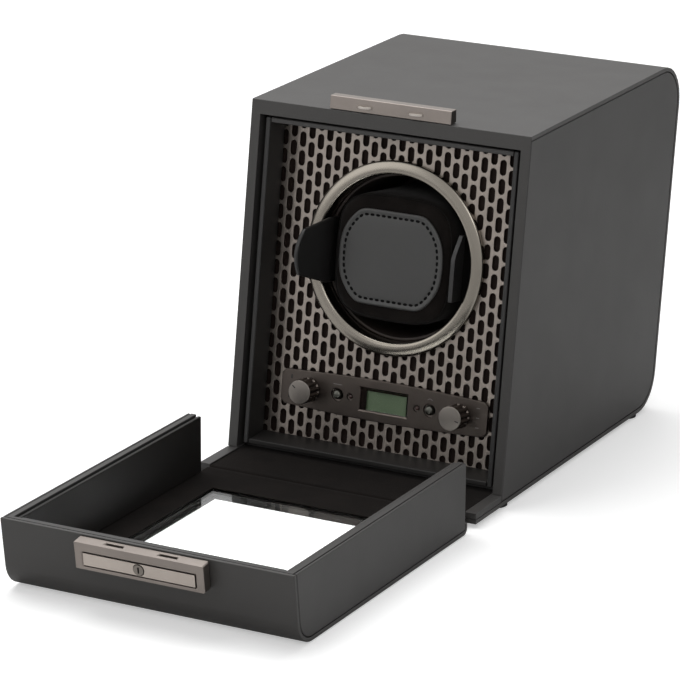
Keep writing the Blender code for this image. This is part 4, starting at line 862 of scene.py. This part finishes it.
def wing(node, side, path, outline, look):
    """Spring wing: a bent strip along the path of (depth, distance out).

    For a share of the height from -1 to 1, outline gives the share of the length that the strip
    reaches there and a function for its half height along the length.
    """
    bm = bmesh.new()
    rows = []
    line = smooth_line(path, 5)
    lengths = [0.0]
    for a, b in zip(line, line[1:]):
        lengths.append(lengths[-1] + (Vector(b) - Vector(a)).length)
    total = lengths[-1]
    for step in range(WING_STRIPS + 1):
        share = step / WING_STRIPS * 2 - 1
        row = []
        extent, half_height = outline(share)
        for length in lengths:
            height = share * half_height(length / total)
            spot = min(length * extent, total)
            place = max(i for i, value in enumerate(lengths) if value <= spot + 1e-9)
            if place + 1 < len(line):
                part = (spot - lengths[place]) / (lengths[place + 1] - lengths[place])
                point = Vector(line[place]).lerp(Vector(line[place + 1]), part)
            else:
                point = Vector(line[-1])
            row.append(bm.verts.new((side * (WING_PLACE + point.y), point.x, height)))
        rows.append(row)
    for near, far in zip(rows, rows[1:]):
        for index in range(len(near) - 1):
            bm.faces.new((near[index], near[index + 1], far[index + 1], far[index]))
    piece = shape(f"shown_{node}", bm, DRUM)
    solid = piece.modifiers.new("thickness", "SOLIDIFY")
    solid.thickness = WING_THICKNESS
    solid.offset = 0
    solid.use_even_offset = True
    settle(piece)
    finish_piece(crisp(piece, WING_EDGE, 3, 50), look, node)


def wings():
    def left_reach(share):
        reach = 1.0 - 0.1 * abs(share) ** 2.2 - (0.05 * share if share > 0 else 0)
        return reach, lambda along: 16.2 - 5.0 * max(0, (along - 0.3) / 0.7)

    def right_reach(share):
        reach = 1.0 - max(0, share - 0.35) / 0.65 * 0.72
        return reach, lambda along: 16.0

    flare = [(21, 0), (17, 0), (14.5, 0.1), (11, 0.9), (0, 4.1), (-9.2, 6.6)]
    # The left wing takes the shaded copy, the right the lighter copy that paints its edge highlight.
    wing("cuff_wing_left", -1, flare, left_reach, SHADED_WING_PLASTIC)
    wing("cuff_wing_right", 1, [(21, 0), (16, 0), (11.2, 0)], right_reach, HIGHLIT_WING_PLASTIC)


# Felt

def felt():
    """One felt lining from the mouth over the fold and round the window, creased along the fold."""
    fold = -1.5
    rows = [35.6, 28, 20, 12, 7, 4, 2, 1, 0.2, -0.5, -1, -1.5, -2, -2.5, -3.2, -4, -5, -7, -8.7, -11, -15, -21, -27.2]
    rows += [-27.2 - 123.66 * share / 12 for share in range(1, 13)] + [-155, -160, -165, -169.1]
    columns = [-70, -66, -61, -56, -52, -39, -26, -13, 0, 13, 26, 39, 52, 56, 61, 66, 70]
    bm = bmesh.new()
    grid = []
    for y in rows:
        crease = -0.45 * math.exp(-((y - fold) / 0.8) ** 2) + 0.1 * math.exp(-((abs(y - fold) - 2.6) / 1.4) ** 2)
        reach = 68.8 / 70 if y > -8.8 else 1.0
        grid.append([bm.verts.new((x * reach, y, 6.86 + crease)) for x in columns])
    for near, far, y in zip(grid, grid[1:], rows):
        for index in range(len(columns) - 1):
            in_window = -150 < y < -27 and abs(columns[index] + columns[index + 1]) < 104
            if not in_window:
                bm.faces.new((near[index], near[index + 1], far[index + 1], far[index]))
    loose = [vertex for vertex in bm.verts if not vertex.link_faces]
    bmesh.ops.delete(bm, geom=loose, context="VERTS")
    piece = shape("felt_lining", bm, CASE)
    if piece.data.polygons[0].normal.z < 0:
        piece.data.flip_normals()
    thick = piece.modifiers.new("thickness", "SOLIDIFY")
    thick.thickness = 0.00062
    thick.offset = -1
    settle(piece)
    crisp(piece, 0.15, 2, 60)
    piece.data.materials.clear()
    piece.data.materials.append(FELT.material)
    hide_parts("ledge_felt", "cover_felt")
    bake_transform(piece)


def carried_over():
    """Materials for the nodes that keep their own meshes."""
    looks = {
        STEEL: ("drum_shaft", "motor_bracket", "gear_motor"),
        LOCK_METAL: ("lock_cylinder",),
        BRONZE: ("front_bearing", "rear_bearing"),
        BLACK_PLASTIC: ("drum_housing", "selector_left", "selector_right", "key_switch_left", "key_switch_right",
                        "power_inlet"),
        BACKING: ("backing_panel",),
        PULLEY_PLASTIC: ("drum_pulley", "motor_pulley"),
        RUBBER: ("foot_front_left", "foot_front_right", "foot_rear_left", "foot_rear_right", "drive_belt"),
        GLASS: ("window_glass",),
        LENS: ("display_window",),
        DISPLAY: ("display_module",),
        CIRCUIT: ("control_board",),
    }
    for look, names in looks.items():
        for name in names:
            NODES[name].data.materials.clear()
            NODES[name].data.materials.append(look.material)


# Stage, lights and camera

def floor():
    """Pale floor that shows white to the camera and keeps the shadow."""
    bpy.ops.mesh.primitive_grid_add(x_subdivisions=8, y_subdivisions=8, size=12, location=(0, 0, 0))
    ground = bpy.context.object
    ground.name = "studio_floor"
    material = bpy.data.materials.new("studio_floor")
    material.use_nodes = True
    tree = material.node_tree
    shader = tree.nodes["Principled BSDF"]
    shader.inputs["Base Color"].default_value = (0.82, 0.82, 0.82, 1)
    shader.inputs["Roughness"].default_value = 0.9
    shader.inputs["Specular IOR Level"].default_value = 0.0
    paths = tree.nodes.new("ShaderNodeLightPath")
    glow = tree.nodes.new("ShaderNodeMath")
    glow.operation = "MULTIPLY_ADD"
    glow.inputs[1].default_value = 0.42
    tree.links.new(paths.outputs["Is Camera Ray"], glow.inputs[0])
    seen = tree.nodes.new("ShaderNodeMath")
    seen.operation = "MULTIPLY"
    seen.inputs[1].default_value = 1.25
    tree.links.new(paths.outputs["Is Transmission Ray"], seen.inputs[0])
    tree.links.new(seen.outputs[0], glow.inputs[2])
    shader.inputs["Emission Color"].default_value = (1, 1, 1, 1)
    tree.links.new(glow.outputs[0], shader.inputs["Emission Strength"])
    ground.data.materials.append(material)


def world():
    """Soft ambient light, white to the camera and bright in gloss."""
    scene_world = bpy.data.worlds.new("studio")
    bpy.context.scene.world = scene_world
    scene_world.use_nodes = True
    tree = scene_world.node_tree
    background = tree.nodes["Background"]
    background.inputs["Color"].default_value = (1, 1, 1, 1)
    paths = tree.nodes.new("ShaderNodeLightPath")
    blend = tree.nodes.new("ShaderNodeMapRange")
    blend.inputs["To Min"].default_value = 0.3
    blend.inputs["To Max"].default_value = 1.0
    direct = tree.nodes.new("ShaderNodeMath")
    direct.operation = "MAXIMUM"
    tree.links.new(paths.outputs["Is Camera Ray"], direct.inputs[0])
    tree.links.new(paths.outputs["Is Transmission Ray"], direct.inputs[1])
    gloss = tree.nodes.new("ShaderNodeMath")
    gloss.operation = "MULTIPLY_ADD"
    gloss.inputs[1].default_value = 0.7
    tree.links.new(paths.outputs["Is Glossy Ray"], gloss.inputs[0])
    tree.links.new(direct.outputs[0], gloss.inputs[2])
    tree.links.new(gloss.outputs[0], blend.inputs["Value"])
    tree.links.new(blend.outputs["Result"], background.inputs["Strength"])


def lamp(name, place, target, size, power):
    """A softbox aimed at a point."""
    light = bpy.data.lights.new(name, "AREA")
    light.shape = "RECTANGLE"
    light.size, light.size_y = size
    light.energy = power
    box = bpy.data.objects.new(name, light)
    bpy.context.scene.collection.objects.link(box)
    box.location = place
    box.rotation_euler = (Vector(target) - Vector(place)).to_track_quat("-Z", "Y").to_euler()


def camera():
    azimuth, elevation, roll = (math.radians(value) for value in (27.9176, 17.6439, 0.4282))
    level_back = math.cos(elevation)
    back = Vector((math.sin(azimuth) * level_back, -math.cos(azimuth) * level_back, math.sin(elevation)))
    level = Vector((math.cos(azimuth), math.sin(azimuth), 0))
    upward = back.cross(level)
    right = level * math.cos(roll) + upward * math.sin(roll)
    up = upward * math.cos(roll) - level * math.sin(roll)
    lens = bpy.data.cameras.new("camera")
    lens.lens = 208.19
    lens.sensor_width = 36
    lens.clip_start = 0.1
    lens.clip_end = 50
    eye = bpy.data.objects.new("camera", lens)
    bpy.context.scene.collection.objects.link(eye)
    eye.matrix_world = Matrix((
        (right.x, up.x, back.x, 0.8318),
        (right.y, up.y, back.y, -1.588058),
        (right.z, up.z, back.z, 0.6456),
        (0, 0, 0, 1),
    ))
    bpy.context.scene.camera = eye


camera()
shells()
binding()
window_trim()
keeper()
front_plate()
ring()
controls()
drum()
cuff()
patch()
wings()
felt()
carried_over()
floor()
world()
lamp("overhead", (-0.4, 0.3, 1.5), (0, 0, 0.1), (1.5, 1.2), 23)
lamp("front_right", (0.9, -1.6, 1.25), (0, 0, 0.1), (0.8, 0.6), 4.5)
lamp("front_left", (-1.2, -1.4, 0.9), (0, -0.05, 0.08), (1.2, 1.2), 5)
lamp("right", (1.6, -0.6, 1.0), (0, 0, 0.1), (0.9, 1.2), 0.8)
bpy.context.scene.view_settings.view_transform = "Standard"
